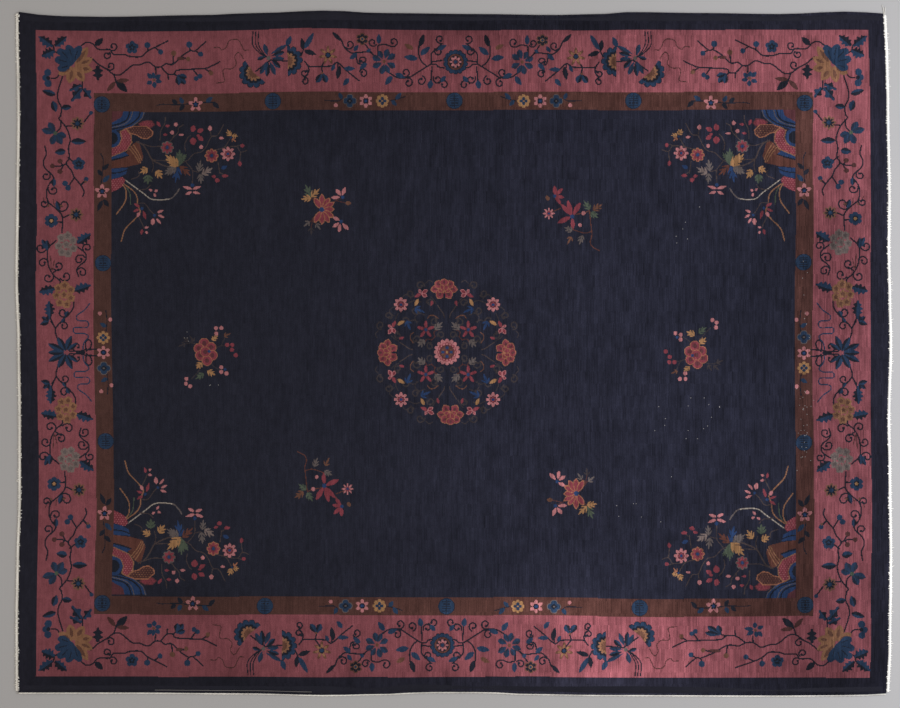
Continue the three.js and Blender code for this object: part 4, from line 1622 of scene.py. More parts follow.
class Cloth:
    """The shape in which the carpet lies, read from the frame's pile slab.

    A point at shares s along +X and t along +Y stands on the chart's squares, drawn aside a
    little here and there. Toward an edge it is eased over to where the slab's own edge wanders.
    Its height is taken between the slab's grid points.
    """

    # The slab's rim: its height, how near to that its points are, how far under the upper grid it lies at
    # least, and how deep an edge's wandering goes.
    RIM_HEIGHT = 0.0065
    RIM_SLACK = 2e-5
    OVER_RIM = 2e-4
    EDGE_DEPTH = 0.04
    # Width of the rounded shoulder, and the reach within which points follow an edge.
    SHOULDER = 0.007
    EASE = 0.16
    # The chart's centre from the middle of the cloth.
    CHART_CENTRE = np.array([-0.003, -0.002])

    def __init__(self, slab: bpy.types.Object) -> None:
        """Reads the slab's rim and its upper grid.

        Args:
            slab: The frame's pile slab.
        """
        points = np.empty(3 * len(slab.data.vertices))
        slab.data.vertices.foreach_get("co", points)
        points = np.unique(points.reshape(-1, 3).round(6), axis=0)
        rim = points[np.abs(points[:, 2] - self.RIM_HEIGHT) < self.RIM_SLACK]
        low, high = rim.min(axis=0), rim.max(axis=0)
        margin = self.EDGE_DEPTH
        self.left = self.edge(rim[rim[:, 0] < low[0] + margin], 0)
        self.right = self.edge(rim[rim[:, 0] > high[0] - margin], 0)
        self.near = self.edge(rim[rim[:, 1] < low[1] + margin], 1)
        self.far = self.edge(rim[rim[:, 1] > high[1] - margin], 1)
        self.heights = self.grid(points[points[:, 2] > self.RIM_HEIGHT + self.OVER_RIM])
        self.middle = np.array([(low[0] + high[0]) / 2, (low[1] + high[1]) / 2])
        self.length = float(high[0] - low[0])
        self.width = float(high[1] - low[1])

    @staticmethod
    def edge(points: Array, axis: int) -> Array:
        """Puts an edge's points in order and keeps how far out they stand, on axis 0 or 1."""
        return points[np.argsort(points[:, 1 - axis]), axis]

    def grid(self, points: Array) -> Array:
        """Sorts the slab's upper points into its grid.

        Args:
            points: The upper points.

        Returns:
            Heights by column along X and row along Y.
        """
        columns, rows = len(self.near), len(self.left)
        low, high = points.min(axis=0), points.max(axis=0)
        i = np.rint((points[:, 0] - low[0]) / (high[0] - low[0]) * (columns - 1)).astype(int)
        j = np.rint((points[:, 1] - low[1]) / (high[1] - low[1]) * (rows - 1)).astype(int)
        heights = np.full((columns, rows), np.nan)
        heights[i, j] = points[:, 2]
        if np.isnan(heights).any():
            raise ValueError("the slab's upper grid is not complete")
        return heights

    def place(self, s: Array, t: Array, sink: float = 0.0) -> Array:
        """Finds points of the cloth.

        Args:
            s: Shares along X.
            t: Shares along Y, in the same shape.
            sink: How far under the pile's face.

        Returns:
            X, Y and Z, one point per row.
        """
        across = np.linspace(0, 1, len(self.left))
        along = np.linspace(0, 1, len(self.near))
        centre = self.middle + self.CHART_CENTRE
        half_x, half_y = HALF_X * SQUARE, HALF_Y * SQUARE
        x = centre[0] + half_x * (2 * s - 1)
        y = centre[1] + half_y * (2 * t - 1)
        nearest = np.minimum(half_x * np.minimum(s, 1 - s), half_y * np.minimum(t, 1 - t))
        inside = 1 - self.pull(2 * nearest)
        for skew in SKEWS:
            fade = skew.fade(HALF_X * (2 * s - 1), HALF_Y * (2 * t - 1))
            x = x + SQUARE * skew.along * inside * fade
            y = y + SQUARE * skew.across * inside * fade
        x = x + (np.interp(t, across, self.left) - centre[0] + half_x) * self.pull(2 * half_x * s)
        x = x + (np.interp(t, across, self.right) - centre[0] - half_x) * self.pull(2 * half_x * (1 - s))
        y = y + (np.interp(s, along, self.near) - centre[1] + half_y) * self.pull(2 * half_y * t)
        y = y + (np.interp(s, along, self.far) - centre[1] - half_y) * self.pull(2 * half_y * (1 - t))
        return np.column_stack([x, y, self.height(s, t) - sink])

    def pull(self, away: Array) -> Array:
        """How far points at a distance follow the edge: 1 on it, down to 0 past the ease."""
        return np.clip(1 - away / self.EASE, 0, 1) ** 2

    def height(self, s: Array, t: Array) -> Array:
        """Height of the pile, rounded down over the shoulder to the rim.

        Args:
            s: Shares along X.
            t: Shares along Y.

        Returns:
            Heights above the floor.
        """
        u = np.clip(s, 0, 1) * (self.heights.shape[0] - 1)
        v = np.clip(t, 0, 1) * (self.heights.shape[1] - 1)
        i = np.minimum(u.astype(int), self.heights.shape[0] - 2)
        j = np.minimum(v.astype(int), self.heights.shape[1] - 2)
        p, q = u - i, v - j
        low = self.heights[i, j] * (1 - p) + self.heights[i + 1, j] * p
        high = self.heights[i, j + 1] * (1 - p) + self.heights[i + 1, j + 1] * p
        top = low * (1 - q) + high * q
        reach_x = np.minimum(s, 1 - s) * self.length
        reach_y = np.minimum(t, 1 - t) * self.width
        share = np.clip(np.minimum(reach_x, reach_y) / self.SHOULDER, 0, 1)
        return self.RIM_HEIGHT + (top - self.RIM_HEIGHT) * np.sin(0.5 * np.pi * share)


def new_object(name: str, vertices: Array, quads: Array) -> bpy.types.Object:
    """Makes an object of four-sided faces at the origin.

    Args:
        name: Its name.
        vertices: Points in metres, one per row.
        quads: Four vertex numbers per row, anticlockwise from outside.

    Returns:
        The object, linked into the scene and riding on the carpet's only body.
    """
    mesh = bpy.data.meshes.new(name)
    mesh.vertices.add(len(vertices))
    mesh.vertices.foreach_set("co", np.ascontiguousarray(vertices, np.float32).ravel())
    mesh.loops.add(quads.size)
    mesh.loops.foreach_set("vertex_index", np.ascontiguousarray(quads, np.int32).ravel())
    mesh.polygons.add(len(quads))
    mesh.polygons.foreach_set("loop_start", np.arange(0, quads.size, 4, dtype=np.int32))
    mesh.update(calc_edges=True)
    mesh.validate()
    made = bpy.data.objects.new(name, mesh)
    bpy.context.scene.collection.objects.link(made)
    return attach(made, "root")


def smooth(made: bpy.types.Object) -> bpy.types.Object:
    """Shades an object's faces as one rounded surface."""
    made.data.polygons.foreach_set("use_smooth", np.ones(len(made.data.polygons), bool))
    return made


def grid_quads(columns: int, rows: int, closed: bool = False) -> Array:
    """Numbers the faces of a grid of points held column by column.

    Args:
        columns: Points along the first parameter.
        rows: Points along the second.
        closed: Whether the last row joins the first.

    Returns:
        Four vertex numbers per row.
    """
    last = rows if closed else rows - 1
    i, j = np.meshgrid(np.arange(columns - 1), np.arange(last), indexing="ij")
    i, j = i.ravel(), j.ravel()
    k = (j + 1) % rows
    return np.column_stack([i * rows + j, (i + 1) * rows + j, (i + 1) * rows + k, i * rows + k])


class NodeGraph:
    """A small maker of node materials."""

    # Values that noise seldom passes.
    NOISE_LOW = 0.3
    NOISE_HIGH = 0.7

    def __init__(self, name: str) -> None:
        """Starts a material with its shader and output.

        Args:
            name: The material's name.
        """
        self.material = bpy.data.materials.new(name)
        self.material.use_nodes = True
        self.tree = self.material.node_tree
        self.shader = self.tree.nodes["Principled BSDF"]

    def node(self, kind: str, **settings: object) -> bpy.types.Node:
        """Adds a node.

        Args:
            kind: Its type name.
            settings: Attributes to set on it.

        Returns:
            The node.
        """
        made = self.tree.nodes.new(kind)
        for name, value in settings.items():
            setattr(made, name, value)
        return made

    def link(self, source: bpy.types.NodeSocket, target: bpy.types.NodeSocket) -> None:
        """Joins two sockets."""
        self.tree.links.new(source, target)

    def noise(self, stretch: Sequence[float], detail: float) -> bpy.types.NodeSocket:
        """Adds noise over the object's own coordinates.

        Args:
            stretch: Waves per metre along X, Y and Z.
            detail: Octaves.

        Returns:
            Its value, from 0 to 1.
        """
        place = self.node("ShaderNodeTexCoord")
        scale = self.node("ShaderNodeMapping")
        scale.inputs["Scale"].default_value = stretch
        texture = self.node("ShaderNodeTexNoise")
        texture.inputs["Scale"].default_value = 1.0
        texture.inputs["Detail"].default_value = detail
        self.link(place.outputs["Object"], scale.inputs["Vector"])
        self.link(scale.outputs["Vector"], texture.inputs["Vector"])
        return texture.outputs["Fac"]

    def vary(
        self, colour: bpy.types.NodeSocket, value: bpy.types.NodeSocket, low: float, high: float
    ) -> bpy.types.NodeSocket:
        """Scales a colour's lightness with a value.

        Args:
            colour: The colour.
            value: From 0 to 1.
            low: Factor where the value is low.
            high: Factor where it is high.

        Returns:
            The scaled colour.
        """
        reach = self.node("ShaderNodeMapRange")
        reach.inputs["From Min"].default_value = self.NOISE_LOW
        reach.inputs["From Max"].default_value = self.NOISE_HIGH
        reach.inputs["To Min"].default_value = low
        reach.inputs["To Max"].default_value = high
        scaled = self.node("ShaderNodeVectorMath", operation="SCALE")
        self.link(value, reach.inputs["Value"])
        self.link(colour, scaled.inputs[0])
        self.link(reach.outputs["Result"], scaled.inputs["Scale"])
        return scaled.outputs["Vector"]

    def bump(self, value: bpy.types.NodeSocket, strength: float, distance: float) -> None:
        """Raises the surface by a value.

        Args:
            value: From 0 to 1.
            strength: Share of the effect.
            distance: Height in metres.
        """
        raised = self.node("ShaderNodeBump")
        raised.inputs["Strength"].default_value = strength
        raised.inputs["Distance"].default_value = distance
        self.link(value, raised.inputs["Height"])
        self.link(raised.outputs["Normal"], self.shader.inputs["Normal"])


@dataclass(frozen=True)
class WoolFinish:
    """Cut wool pile in the colours of the knots.

    Args:
        name: The material's name.
        attribute: The mesh's colour attribute, the yarns' colours with painted light and shade in them.
        grain: Waves of the cut tufts per metre along X, Y and Z.
        tufts: Factors of the dark and the light tufts.
        strokes: Waves of the brushing per metre along X, Y and Z.
        brushed: Factors of the dark and the light strokes.
        relief: Height of the tufts in metres.
    """

    name: str = "wool pile"
    attribute: str = "yarn"
    grain: tuple[float, float, float] = (420.0, 252.0, 420.0)
    tufts: tuple[float, float] = (0.82, 1.18)
    strokes: tuple[float, float, float] = (60.0, 34.0, 60.0)
    brushed: tuple[float, float] = (0.87, 1.13)
    relief: float = 0.0016

    def make(self) -> bpy.types.Material:
        """Makes the material.

        Returns:
            The material.
        """
        graph = NodeGraph(self.name)
        knots = graph.node("ShaderNodeAttribute", attribute_name=self.attribute)
        tufts = graph.noise(self.grain, 3.0)
        strokes = graph.noise(self.strokes, 4.0)
        colour = graph.vary(knots.outputs["Color"], tufts, *self.tufts)
        colour = graph.vary(colour, strokes, *self.brushed)
        graph.link(colour, graph.shader.inputs["Base Color"])
        graph.shader.inputs["Roughness"].default_value = 0.95
        graph.shader.inputs["Specular IOR Level"].default_value = 0.08
        graph.bump(tufts, 0.35, self.relief)
        return graph.material


@dataclass(frozen=True)
class PlainFinish:
    """A plain fibre finish: the foundation or the cotton.

    Args:
        name: The material's name.
        colour: Display colour, 0 to 255.
        grain: Waves of the fibres per metre along X, Y and Z.
        low: Factor of the dark fibres.
        high: Factor of the light fibres.
        relief: Height of the fibres in metres.
        soil: Waves of the soiling per metre.
    """

    name: str
    colour: tuple[int, int, int]
    grain: tuple[float, float, float]
    low: float
    high: float
    relief: float
    soil: tuple[float, float, float] = (9.0, 9.0, 9.0)

    def make(self) -> bpy.types.Material:
        """Makes the material.

        Returns:
            The material.
        """
        graph = NodeGraph(self.name)
        base = graph.node("ShaderNodeRGB")
        base.outputs[0].default_value = (*linear(self.colour), 1.0)
        fibres = graph.noise(self.grain, 3.0)
        soil = graph.noise(self.soil, 3.0)
        colour = graph.vary(base.outputs[0], fibres, self.low, self.high)
        colour = graph.vary(colour, soil, self.low, 1.0)
        graph.link(colour, graph.shader.inputs["Base Color"])
        graph.shader.inputs["Roughness"].default_value = 0.95
        graph.shader.inputs["Specular IOR Level"].default_value = 0.1
        graph.bump(fibres, 0.5, self.relief)
        return graph.material


FIBRES = (900.0, 900.0, 900.0)
GROUND = PlainFinish("foundation", (30, 29, 36), (300.0, 300.0, 300.0), 0.8, 1.2, 0.0008)
COTTON = PlainFinish("white cotton", (236, 229, 217), FIBRES, 0.78, 1.06, 0.0006)
CORD = PlainFinish("side cord", (232, 224, 210), FIBRES, 0.6, 1.08, 0.0006)
SOILED = PlainFinish("soiled warp", (118, 113, 110), FIBRES, 0.72, 1.06, 0.0004)


@dataclass
class Pile:
    """The cut wool pile, one piece for each part of the pattern.

    Args:
        cloth: The shape it lies in.
        chart: The finished chart.
        finish: Its material.
        uneven: Spread of the tufts' height, in metres.
        lot: Spread of lightness from strip to strip.
        abrash: How much lighter the second dye lot of the rose wool is.
        abrash_from: Where along X that lot begins, in squares.
        abrash_over: Over what length it comes in, in squares.
        roughness: How much more the strips of rough pile differ.
        warmth: How much redder the brown wool is toward the right.
        painted_blue_sheen: How much bluer the dark blue wools are painted toward the right, a painted
            sheen.
    """

    cloth: Cloth
    chart: KnotChart
    finish: WoolFinish = WoolFinish()
    uneven: float = 0.00018
    lot: float = 0.05
    abrash: float = 0.2
    abrash_from: float = 110.0
    abrash_over: float = 14.0
    roughness: float = 2.0
    warmth: float = 0.12
    painted_blue_sheen: float = 0.1

    # A piece fills its map but for a margin.
    MAP_MARGIN = 0.004
    MAP_SPAN = 0.992

    def runs(self) -> tuple[Array, Array, Array]:
        """Cuts every weft row where the yarn or the part changes, or where it gets long.

        Returns:
            The row, first knot and the knot after the last of every run.
        """
        start = np.zeros((KNOTS_X, KNOTS_Y), bool)
        start[:, ::LONGEST_RUN] = True
        for layer in (self.chart.yarn, self.chart.region):
            start[:, 1:] |= layer[:, 1:] != layer[:, :-1]
        flat = np.flatnonzero(start)
        stop = np.append(flat[1:], start.size)
        row = flat // KNOTS_Y
        first = flat - row * KNOTS_Y
        return row, first, first + (stop - flat)

    def build(self) -> list[bpy.types.Object]:
        """Makes the pieces.

        Returns:
            The pieces, in the order of the parts.
        """
        row, first, last = self.runs()
        region = self.chart.region[row, first]
        material = self.finish.make()
        return [
            self.piece(part, row[region == part], first[region == part], last[region == part], material)
            for part in Region
        ]

    def piece(
        self, part: Region, row: Array, first: Array, last: Array, material: bpy.types.Material
    ) -> bpy.types.Object:
        """Makes one part of the pile: a strip for every run of knots.

        A strip is one weft row wide and stands at the cloth's height at its ends, a little up
        or down from its neighbours.

        Args:
            part: Which part.
            row: Weft row of every run.
            first: Its first knot.
            last: The knot after its last.
            material: The wool.

        Returns:
            The piece.
        """
        knot_x = np.column_stack([row, row + 1, row + 1, row]).ravel()
        knot_y = np.column_stack([first, first, last, last]).ravel()
        vertices = self.cloth.place(knot_x / KNOTS_X, knot_y / KNOTS_Y)
        shift = np.random.default_rng(int(part)).uniform(-1, 0, len(row))
        vertices[:, 2] += np.repeat(self.uneven * shift, 4)
        made = new_object(f"pile_{part.name.lower()}", vertices, np.arange(4 * len(row)).reshape(-1, 4))
        self.dye(made, part, row, first, knot_x, knot_y)
        self.unfold(made, vertices)
        made.data.materials.append(material)
        return made

    def dye(
        self, made: bpy.types.Object, part: Region, row: Array, first: Array, knot_x: Array, knot_y: Array
    ) -> None:
        """Gives every strip the colour of its yarn, with the painted light and shade of the nap and a
        painted blue sheen at its ends.

        Args:
            made: The piece.
            part: Which part.
            row: Weft row of every run.
            first: Its first knot.
            knot_x: Weft line of every corner.
            knot_y: Knot line of every corner.
        """
        palette = np.array([linear(yarn.colour) for yarn in Yarn])
        colour = np.repeat(palette[self.chart.yarn[row, first]], 4, axis=0)
        x = knot_x / KNOTS_PER_SQUARE - HALF_X
        y = knot_y / KNOTS_PER_SQUARE - HALF_Y
        lot = np.random.default_rng(100 + int(part)).normal(0, self.lot, len(row))
        lot = 1 + lot * (1 + self.roughness * roughness_and_sheen(row / KNOTS_PER_SQUARE - HALF_X))
        yarn = np.repeat(self.chart.yarn[row, first], 4)
        begun = 0.5 + 0.5 * np.tanh((x - self.abrash_from) / self.abrash_over)
        second_lot = 1 + (yarn == Yarn.ROSE) * self.abrash * begun
        colour[:, 0] *= 1 + self.warmth * (yarn == Yarn.BROWN) * roughness_and_sheen(x)
        # Painted blue sheen on the dark blue wools, stronger toward the lamp at the right.
        colour[:, 2] *= 1 + self.painted_blue_sheen * ((yarn == Yarn.NAVY) | (yarn == Yarn.GUARD)) * roughness_and_sheen(x)
        # Painted light and shade of the nap patches, and the mottle, partly painted sheen.
        colour = colour * (painted_light_and_mottle(x, y) * np.repeat(lot, 4) * second_lot)[:, None]
        layer = made.data.color_attributes.new(self.finish.attribute, "FLOAT_COLOR", "CORNER")
        layer.data.foreach_set(
            "color", np.column_stack([colour, np.ones(len(colour))]).astype(np.float32).ravel()
        )

    def unfold(self, made: bpy.types.Object, vertices: Array) -> None:
        """Maps the piece flat, its own box filling the map.

        Args:
            made: The piece.
            vertices: Its points, one per corner.
        """
        low, high = vertices.min(axis=0), vertices.max(axis=0)
        flat = (vertices[:, :2] - low[:2]) / (high - low)[:2]
        layer = made.data.uv_layers.new(name="OFBake")
        layer.data.foreach_set("uv", (self.MAP_MARGIN + self.MAP_SPAN * flat).astype(np.float32).ravel())


@dataclass
class Foundation:
    """The woven cotton and wool body under the pile, down to the floor.

    Args:
        cloth: The shape it lies in.
        sink: How far its top lies under the pile's face.
        columns: Grid steps along X.
        rows: Grid steps along Y.
        finish: Its material.
    """

    cloth: Cloth
    sink: float = 0.0012
    columns: int = 160
    rows: int = 128
    finish: PlainFinish = GROUND

    def build(self) -> bpy.types.Object:
        """Makes the closed slab: a top grid, a floor grid of the same outline, and the sides.

        Returns:
            The slab.
        """
        s, t = np.meshgrid(
            np.linspace(0, 1, self.columns + 1), np.linspace(0, 1, self.rows + 1), indexing="ij"
        )
        top = self.cloth.place(s.ravel(), t.ravel(), self.sink)
        floor = top * (1, 1, 0)
        columns, rows = self.columns + 1, self.rows + 1
        faces = grid_quads(columns, rows)
        number = np.arange(columns * rows).reshape(columns, rows)
        ring = np.concatenate([number[:-1, 0], number[-1, :-1], number[:0:-1, -1], number[0, :0:-1]])
        after = np.roll(ring, -1)
        count = len(top)
        sides = np.column_stack([ring + count, after + count, after, ring])
        made = new_object(
            "foundation",
            np.vstack([top, floor]),
            np.vstack([faces, faces[:, ::-1] + count, sides]),
        )
        made.data.materials.append(self.finish.make())
        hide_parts("pile_slab")
        return made


def tube(line: Array, radius: Array, sides: int) -> tuple[Array, Array]:
    """Carries a ring along a line, square to it.

    Args:
        line: Points along the middle, one per row.
        radius: Radius at every point, or at every point and side.
        sides: Sides of the ring.

    Returns:
        The tube's points and faces, its ends drawn to a point.
    """
    ahead = np.gradient(line, axis=0)
    ahead /= np.linalg.norm(ahead, axis=1, keepdims=True)
    ahead = np.vstack([ahead[:1], ahead, ahead[-1:]])
    line = np.vstack([line[:1], line, line[-1:]])
    reach = np.broadcast_to(np.reshape(radius, (len(line) - 2, -1)), (len(line) - 2, sides))
    reach = np.vstack([0 * reach[:1], reach, 0 * reach[-1:]])
    level = np.column_stack([-ahead[:, 1], ahead[:, 0], np.zeros(len(line))])
    level /= np.maximum(np.linalg.norm(level, axis=1, keepdims=True), 1e-9)
    upright = np.cross(ahead, level)
    angle = np.linspace(0, 2 * np.pi, sides, endpoint=False)
    ring = (
        line[:, None, :]
        + (reach * np.cos(angle))[:, :, None] * level[:, None, :]
        + (reach * np.sin(angle))[:, :, None] * upright[:, None, :]
    )
    return ring.reshape(-1, 3), grid_quads(len(line), sides, closed=True)[:, ::-1]


def join(parts: Sequence[tuple[Array, Array]]) -> tuple[Array, Array]:
    """Joins meshes into one.

    Args:
        parts: Points and faces of each.

    Returns:
        All the points and faces.
    """
    counts = np.cumsum([0] + [len(points) for points, _ in parts])
    faces = [faces + start for (_, faces), start in zip(parts, counts)]
    return np.vstack([points for points, _ in parts]), np.vstack(faces)


class End(Enum):
    """The two cotton ends."""

    LEFT = -1
    RIGHT = 1


@dataclass
class CottonEnd:
    """A knotted-off end of the warps: a band of knots, stitched over the pile's edge, with cut strands.

    Args:
        cloth: The carpet's shape.
        end: Which end.
        width: Width of the band.
        thick: Height of the band.
        knot: Distance between knots.
        strands: Number of cut strands.
        stitches: Number of stitches over the edge of the pile.
        tuft: Length of the long threads at the far tip, or 0 where there are none.
    """

    cloth: Cloth
    end: End
    width: float = 0.0128
    thick: float = 0.0046
    knot: float = 0.0062
    strands: int = 290
    stitches: int = 170
    tuft: float = 0.0

    # The band: how far its tips and outer strands stand in, its gap from the cloth, its sides, and how much
    # it swells and differs from knot to knot.
    INSET = 0.006
    GAP = 0.0004
    SIDES = 10
    SWELL = (0.86, 0.14)
    UNEVEN = 0.06
    # The strands: usual and longest lengths, the share that aren't long, radius, greatest lean, where on
    # the band they leave it, and height.
    STRAND = 0.0042
    LONG_STRAND = 0.0095
    SHORT_SHARE = 0.95
    STRAND_RADIUS = 0.0022
    STRAND_LEAN = 0.6
    STRAND_ROOT = 0.75
    STRAND_HEIGHT = 0.0019
    # The stitches: longest reach over the pile, greatest slant, rise over the pile and its edge, and radii.
    STITCH = 0.0056
    SLANT = 0.003
    STITCH_RISE = (0.0006, 0.0008)
    STITCH_RADII = (0.0012, 0.0017, 0.0017)
    # The long threads: distance out, share of the length and bend of each, and their radius and height.
    THREADS = ((0.0025, 0.75, 0.001), (0.005, 1.0, -0.008), (0.0075, 0.82, 0.002))
    THREAD_RADIUS = 0.0011
    THREAD_HEIGHT = 0.0018

    @property
    def share(self) -> float:
        """Share along X of the cloth's edge at this end."""
        return 0.0 if self.end is End.LEFT else 1.0

    def edge_x(self, y: Array) -> Array:
        """X of the cloth's edge beside the band.

        Args:
            y: Places along the band.

        Returns:
            X in metres.
        """
        edge = self.cloth.left if self.end is End.LEFT else self.cloth.right
        places = self.cloth.place(np.full(len(edge), self.share), np.linspace(0, 1, len(edge)))
        return np.interp(y, places[:, 1], edge)

    def reach(self) -> tuple[float, float]:
        """The band's Y from its near tip to its far one."""
        tips = self.cloth.place(np.full(2, self.share), np.array([0.0, 1.0]))[:, 1]
        return float(tips[0] + self.INSET), float(tips[1] - self.INSET)

    def build(self) -> bpy.types.Object:
        """Makes the end.

        Returns:
            The piece, which stands for its CAD node.
        """
        parts = [self.band(), *self.fringe(), *self.overcast()]
        if self.tuft:
            parts.extend(self.long_threads())
        made = smooth(new_object(f"warp_end_{self.end.name.lower()}", *join(parts)))
        made.data.materials.append(COTTON.make())
        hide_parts(f"cotton_end_{self.end.name.lower()}")
        return made

    def band(self) -> tuple[Array, Array]:
        """A low oval ring carried along the edge, swelling at every knot.

        Returns:
            The band's points and faces.
        """
        near, far = self.reach()
        steps = int((far - near) / (self.knot / 4))
        y = np.linspace(near, far, steps)
        scatter = np.random.default_rng(40 + self.end.value)
        swell = self.SWELL[0] + self.SWELL[1] * np.cos(2 * np.pi * (y - near) / self.knot)
        swell = swell * (1 + self.UNEVEN * scatter.standard_normal(steps))
        angle = np.linspace(0, 2 * np.pi, self.SIDES, endpoint=False)
        middle = self.edge_x(y) + self.end.value * (self.GAP + self.width / 2)
        x = middle[:, None] + 0.5 * self.width * swell[:, None] * np.cos(angle)
        z = 0.5 * self.thick * (1 + swell[:, None] * np.sin(angle))
        points = np.stack([x, np.broadcast_to(y[:, None], x.shape), z], axis=-1)
        faces = grid_quads(steps, self.SIDES, closed=True)
        return points.reshape(-1, 3), faces

    def fringe(self) -> list[tuple[Array, Array]]:
        """Short tapered strands lying outward from the band.

        Returns:
            Points and faces of each strand.
        """
        near, far = self.reach()
        scatter = np.random.default_rng(50 + self.end.value)
        root = np.linspace(near + self.INSET, far - self.INSET, self.strands)
        length = self.STRAND * (1 + 0.6 * scatter.uniform(-1, 1, self.strands))
        short = scatter.uniform(0, 1, self.strands) <= self.SHORT_SHARE
        length = np.where(short, length, self.LONG_STRAND)
        lean = scatter.uniform(-self.STRAND_LEAN, self.STRAND_LEAN, self.strands)
        share = np.linspace(0, 1, 5)
        made = []
        for y, long, aside in zip(root, length, lean):
            start = self.edge_x(np.array([y]))[0] + self.end.value * (self.STRAND_ROOT * self.width)
            line = np.column_stack([
                start + self.end.value * (0.0016 + long) * share,
                y + aside * long * share**1.5,
                self.STRAND_HEIGHT - 0.0006 * share,
            ])
            made.append(tube(line, self.STRAND_RADIUS * (1 - 0.5 * share), 5))
        return made

    def overcast(self) -> list[tuple[Array, Array]]:
        """Stitches that lie on the pile at its edge and run down to the band.

        Returns:
            Points and faces of each stitch.
        """
        scatter = np.random.default_rng(60 + self.end.value)
        t = np.sort(scatter.uniform(0.004, 0.996, self.stitches))
        inset = self.STITCH * scatter.uniform(0.1, 1, self.stitches) ** 1.4 / self.cloth.length
        inner = self.cloth.place(np.abs(self.share - inset), t)
        edge = self.cloth.place(np.full(self.stitches, self.share), t)
        slant = scatter.uniform(-self.SLANT, self.SLANT, self.stitches)
        on_pile, on_edge = self.STITCH_RISE
        made = []
        for first, lip, aside in zip(inner, edge, slant):
            foot = lip + (self.end.value * 0.5 * self.width, aside, 0)
            foot[2] = 0.7 * self.thick
            line = np.array([first + (0, 0, on_pile), lip + (0, 0.4 * aside, on_edge), foot])
            made.append(tube(line, np.array(self.STITCH_RADII), 6))
        return made

    def long_threads(self) -> list[tuple[Array, Array]]:
        """Frayed threads that stand out past the far tip.

        Returns:
            Points and faces of each thread.
        """
        far = self.reach()[1]
        share = np.linspace(0, 1, 14)
        start = self.edge_x(np.array([far]))[0]
        made = []
        for place, long, aside in self.THREADS:
            line = np.column_stack([
                start + self.end.value * (place + aside * share**1.6),
                far - 0.004 + self.tuft * long * share,
                self.THREAD_HEIGHT + 0.0004 * np.sin(3 * np.pi * share),
            ])
            made.append(tube(line, self.THREAD_RADIUS * (1 - 0.4 * share), 6))
        return made


@dataclass
class SideCord:
    """The white two-ply cord overcast along the near side.

    Its radius swells twice round the ring, and the swelling turns as it goes along.

    Args:
        cloth: The carpet's shape.
        radius: Mean radius.
        lay: Length of one turn of the plies.
    """

    cloth: Cloth
    radius: float = 0.0031
    lay: float = 0.018

    # Points along it and round it, how far its tips stand in, its place beside the cloth in radii, its
    # height, and its radius: the mean, the plies' share and the unevenness.
    STEPS = 2400
    SIDES = 10
    INSET = 0.001
    BESIDE = 1.05
    HEIGHT = 0.0034
    PLIES = (0.92, 0.12, 0.1)

    def build(self) -> bpy.types.Object:
        """Makes the cord.

        Returns:
            The piece, which stands for its CAD node.
        """
        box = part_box("side_cord")
        x = np.linspace(box[0][0] + self.INSET, box[1][0] - self.INSET, self.STEPS)
        shares = np.linspace(0, 1, len(self.cloth.near))
        places = self.cloth.place(shares, np.zeros(len(shares)))
        edge = np.interp(x, places[:, 0], places[:, 1])
        scatter = cloud(x / SQUARE, 0 * x, 12, 50, 71)
        line = np.column_stack([x, edge - self.radius * self.BESIDE, np.full(len(x), self.HEIGHT)])
        angle = np.linspace(0, 2 * np.pi, self.SIDES, endpoint=False)
        ply = np.cos(2 * (angle[None, :] - np.pi * x[:, None] / self.lay))
        mean, plies, uneven = self.PLIES
        radius = self.radius * (mean + plies * ply + uneven * scatter[:, None])
        points, faces = tube(line, radius, self.SIDES)
        made = smooth(new_object("overcast_cord", points, faces))
        made.data.materials.append(CORD.make())
        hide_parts("side_cord")
        return made


@dataclass
class BaredThread:
    """A thin white warp that shows through the guard, a little in from the near side.

    Args:
        cloth: The carpet's shape.
        first: Share along X where it comes up.
        last: Share along X where it goes under.
        inward: Its distance from the side.
        radius: Its radius.
    """

    cloth: Cloth
    first: float = 0.158
    last: float = 0.338
    inward: float = 0.013
    radius: float = 0.0011

    # Points along it and round it, its height over the pile, and how deep and how high it goes from there.
    STEPS = 900
    SIDES = 6
    RISE = 0.0003
    DIP = 0.0011
    HIGHEST = 0.2

    def build(self) -> bpy.types.Object:
        """Makes the thread, which dips under the pile here and there.

        Returns:
            The piece.
        """
        s = np.linspace(self.first, self.last, self.STEPS)
        t = np.full(len(s), self.inward / self.cloth.width)
        dip = cloud(s * 2 * HALF_X, 0 * s, 14, 50, 81)
        line = self.cloth.place(s, t)
        line[:, 2] += self.RISE + self.DIP * np.minimum(dip, self.HIGHEST)
        points, faces = tube(line, np.full(len(s), self.radius), self.SIDES)
        made = smooth(new_object("bared_thread", points, faces))
        made.data.materials.append(SOILED.make())
        return made


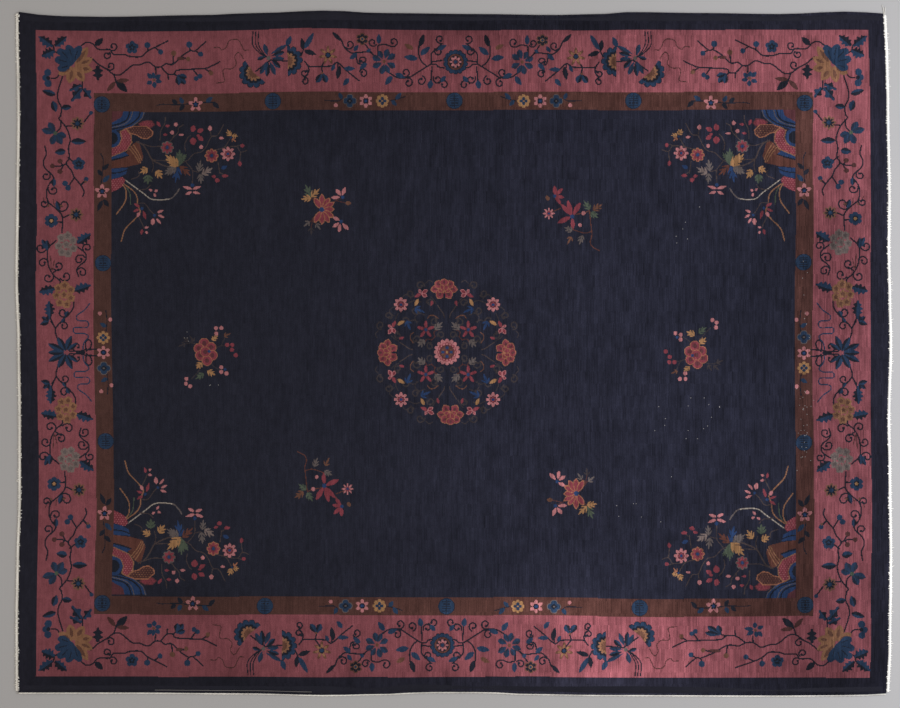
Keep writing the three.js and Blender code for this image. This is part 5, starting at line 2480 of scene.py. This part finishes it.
@dataclass(frozen=True)
class Studio:
    """A plain pale floor, soft light and the camera over the carpet.

    Args:
        floor_colour: Display colour of the floor.
        floor_reach: Half its size.
        floor_drop: How far it lies under the carpet.
        sky: Strength of the even light.
        sky_colour: Its colour.
        lamp: Power of the large soft lamp at the right, in watts.
        lamp_colour: Its colour.
        lamp_size: Its length and width.
        lamp_place: Where it hangs.
        lamp_tilt: How far it is turned toward the carpet, in radians.
        frame_width: Width of the picture on the floor, in metres.
        aim: Middle of the picture from the middle of the cloth, in metres.
        lens: Focal length in millimetres.
        sensor: Width of the sensor in millimetres.
    """

    floor_colour: tuple[int, int, int] = (156, 152, 148)
    floor_reach: float = 14.0
    floor_drop: float = 0.0004
    sky: float = 0.8
    sky_colour: tuple[float, float, float] = (1.0, 0.98, 0.96)
    lamp: float = 215.0
    lamp_colour: tuple[float, float, float] = (0.88, 0.98, 1.16)
    lamp_size: float = 2.4
    lamp_place: tuple[float, float, float] = (4.2, -0.1, 3.0)
    lamp_tilt: float = 0.86
    frame_width: float = 3.6
    aim: Point = (-0.015, -0.004)
    lens: float = 50.0
    sensor: float = 36.0

    def build(self, cloth: Cloth) -> None:
        """Sets out the floor, lights and camera.

        Args:
            cloth: The carpet's shape.
        """
        self.lay_floor()
        self.light()
        self.set_camera(cloth)

    def lay_floor(self) -> None:
        """Lays the floor."""
        reach = self.floor_reach
        mesh = bpy.data.meshes.new("floor")
        corners = [(-reach, -reach, 0), (reach, -reach, 0), (reach, reach, 0), (-reach, reach, 0)]
        mesh.from_pydata(corners, [], [(0, 1, 2, 3)])
        made = bpy.data.objects.new("floor", mesh)
        bpy.context.scene.collection.objects.link(made)
        made.location.z = -self.floor_drop
        graph = NodeGraph("floor")
        graph.shader.inputs["Base Color"].default_value = (*linear(self.floor_colour), 1.0)
        graph.shader.inputs["Roughness"].default_value = 0.8
        graph.shader.inputs["Specular IOR Level"].default_value = 0.1
        mesh.materials.append(graph.material)

    def light(self) -> None:
        """Lights the scene evenly, with one large soft lamp at the right."""
        world = bpy.data.worlds.new("studio")
        world.use_nodes = True
        sky = world.node_tree.nodes["Background"]
        sky.inputs["Color"].default_value = (*self.sky_colour, 1.0)
        sky.inputs["Strength"].default_value = self.sky
        bpy.context.scene.world = world
        lamp = bpy.data.lights.new("soft lamp", "AREA")
        lamp.shape = "RECTANGLE"
        lamp.size = lamp.size_y = self.lamp_size
        lamp.energy = self.lamp
        lamp.color = self.lamp_colour
        made = bpy.data.objects.new("soft lamp", lamp)
        made.location = self.lamp_place
        made.rotation_euler = (0.0, self.lamp_tilt, 0.0)
        bpy.context.scene.collection.objects.link(made)
        bpy.context.scene.view_settings.view_transform = "Standard"

    def set_camera(self, cloth: Cloth) -> None:
        """Hangs the camera straight over the carpet.

        Args:
            cloth: The carpet's shape.
        """
        lens = bpy.data.cameras.new("camera")
        lens.lens = self.lens
        lens.sensor_width = self.sensor
        made = bpy.data.objects.new("camera", lens)
        height = self.frame_width * lens.lens / lens.sensor_width
        made.location = (*(cloth.middle + self.aim), height)
        bpy.context.scene.collection.objects.link(made)
        bpy.context.scene.camera = made


def corners(box: Sequence[Sequence[float]]) -> list[list[float]]:
    """Turns a pair of corners into plain lists."""
    return [[float(value) for value in corner] for corner in box]


def main() -> None:
    """Builds the carpet and its studio."""
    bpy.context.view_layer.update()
    cloth = Cloth(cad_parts["pile_slab"])
    chart = Design().weave()
    foundation = Foundation(cloth).build()
    pile = Pile(cloth, chart).build()
    trims = [
        CottonEnd(cloth, End.LEFT).build(),
        CottonEnd(cloth, End.RIGHT, tuft=0.046).build(),
        SideCord(cloth).build(),
        BaredThread(cloth).build(),
    ]
    Studio().build(cloth)
    for made in (foundation, *pile, *trims):
        LOG.info("%s: %d faces", made.name, len(made.data.polygons))


if __name__ == "__main__":
    logging.basicConfig(level=logging.INFO, format="%(name)s %(message)s")
    main()
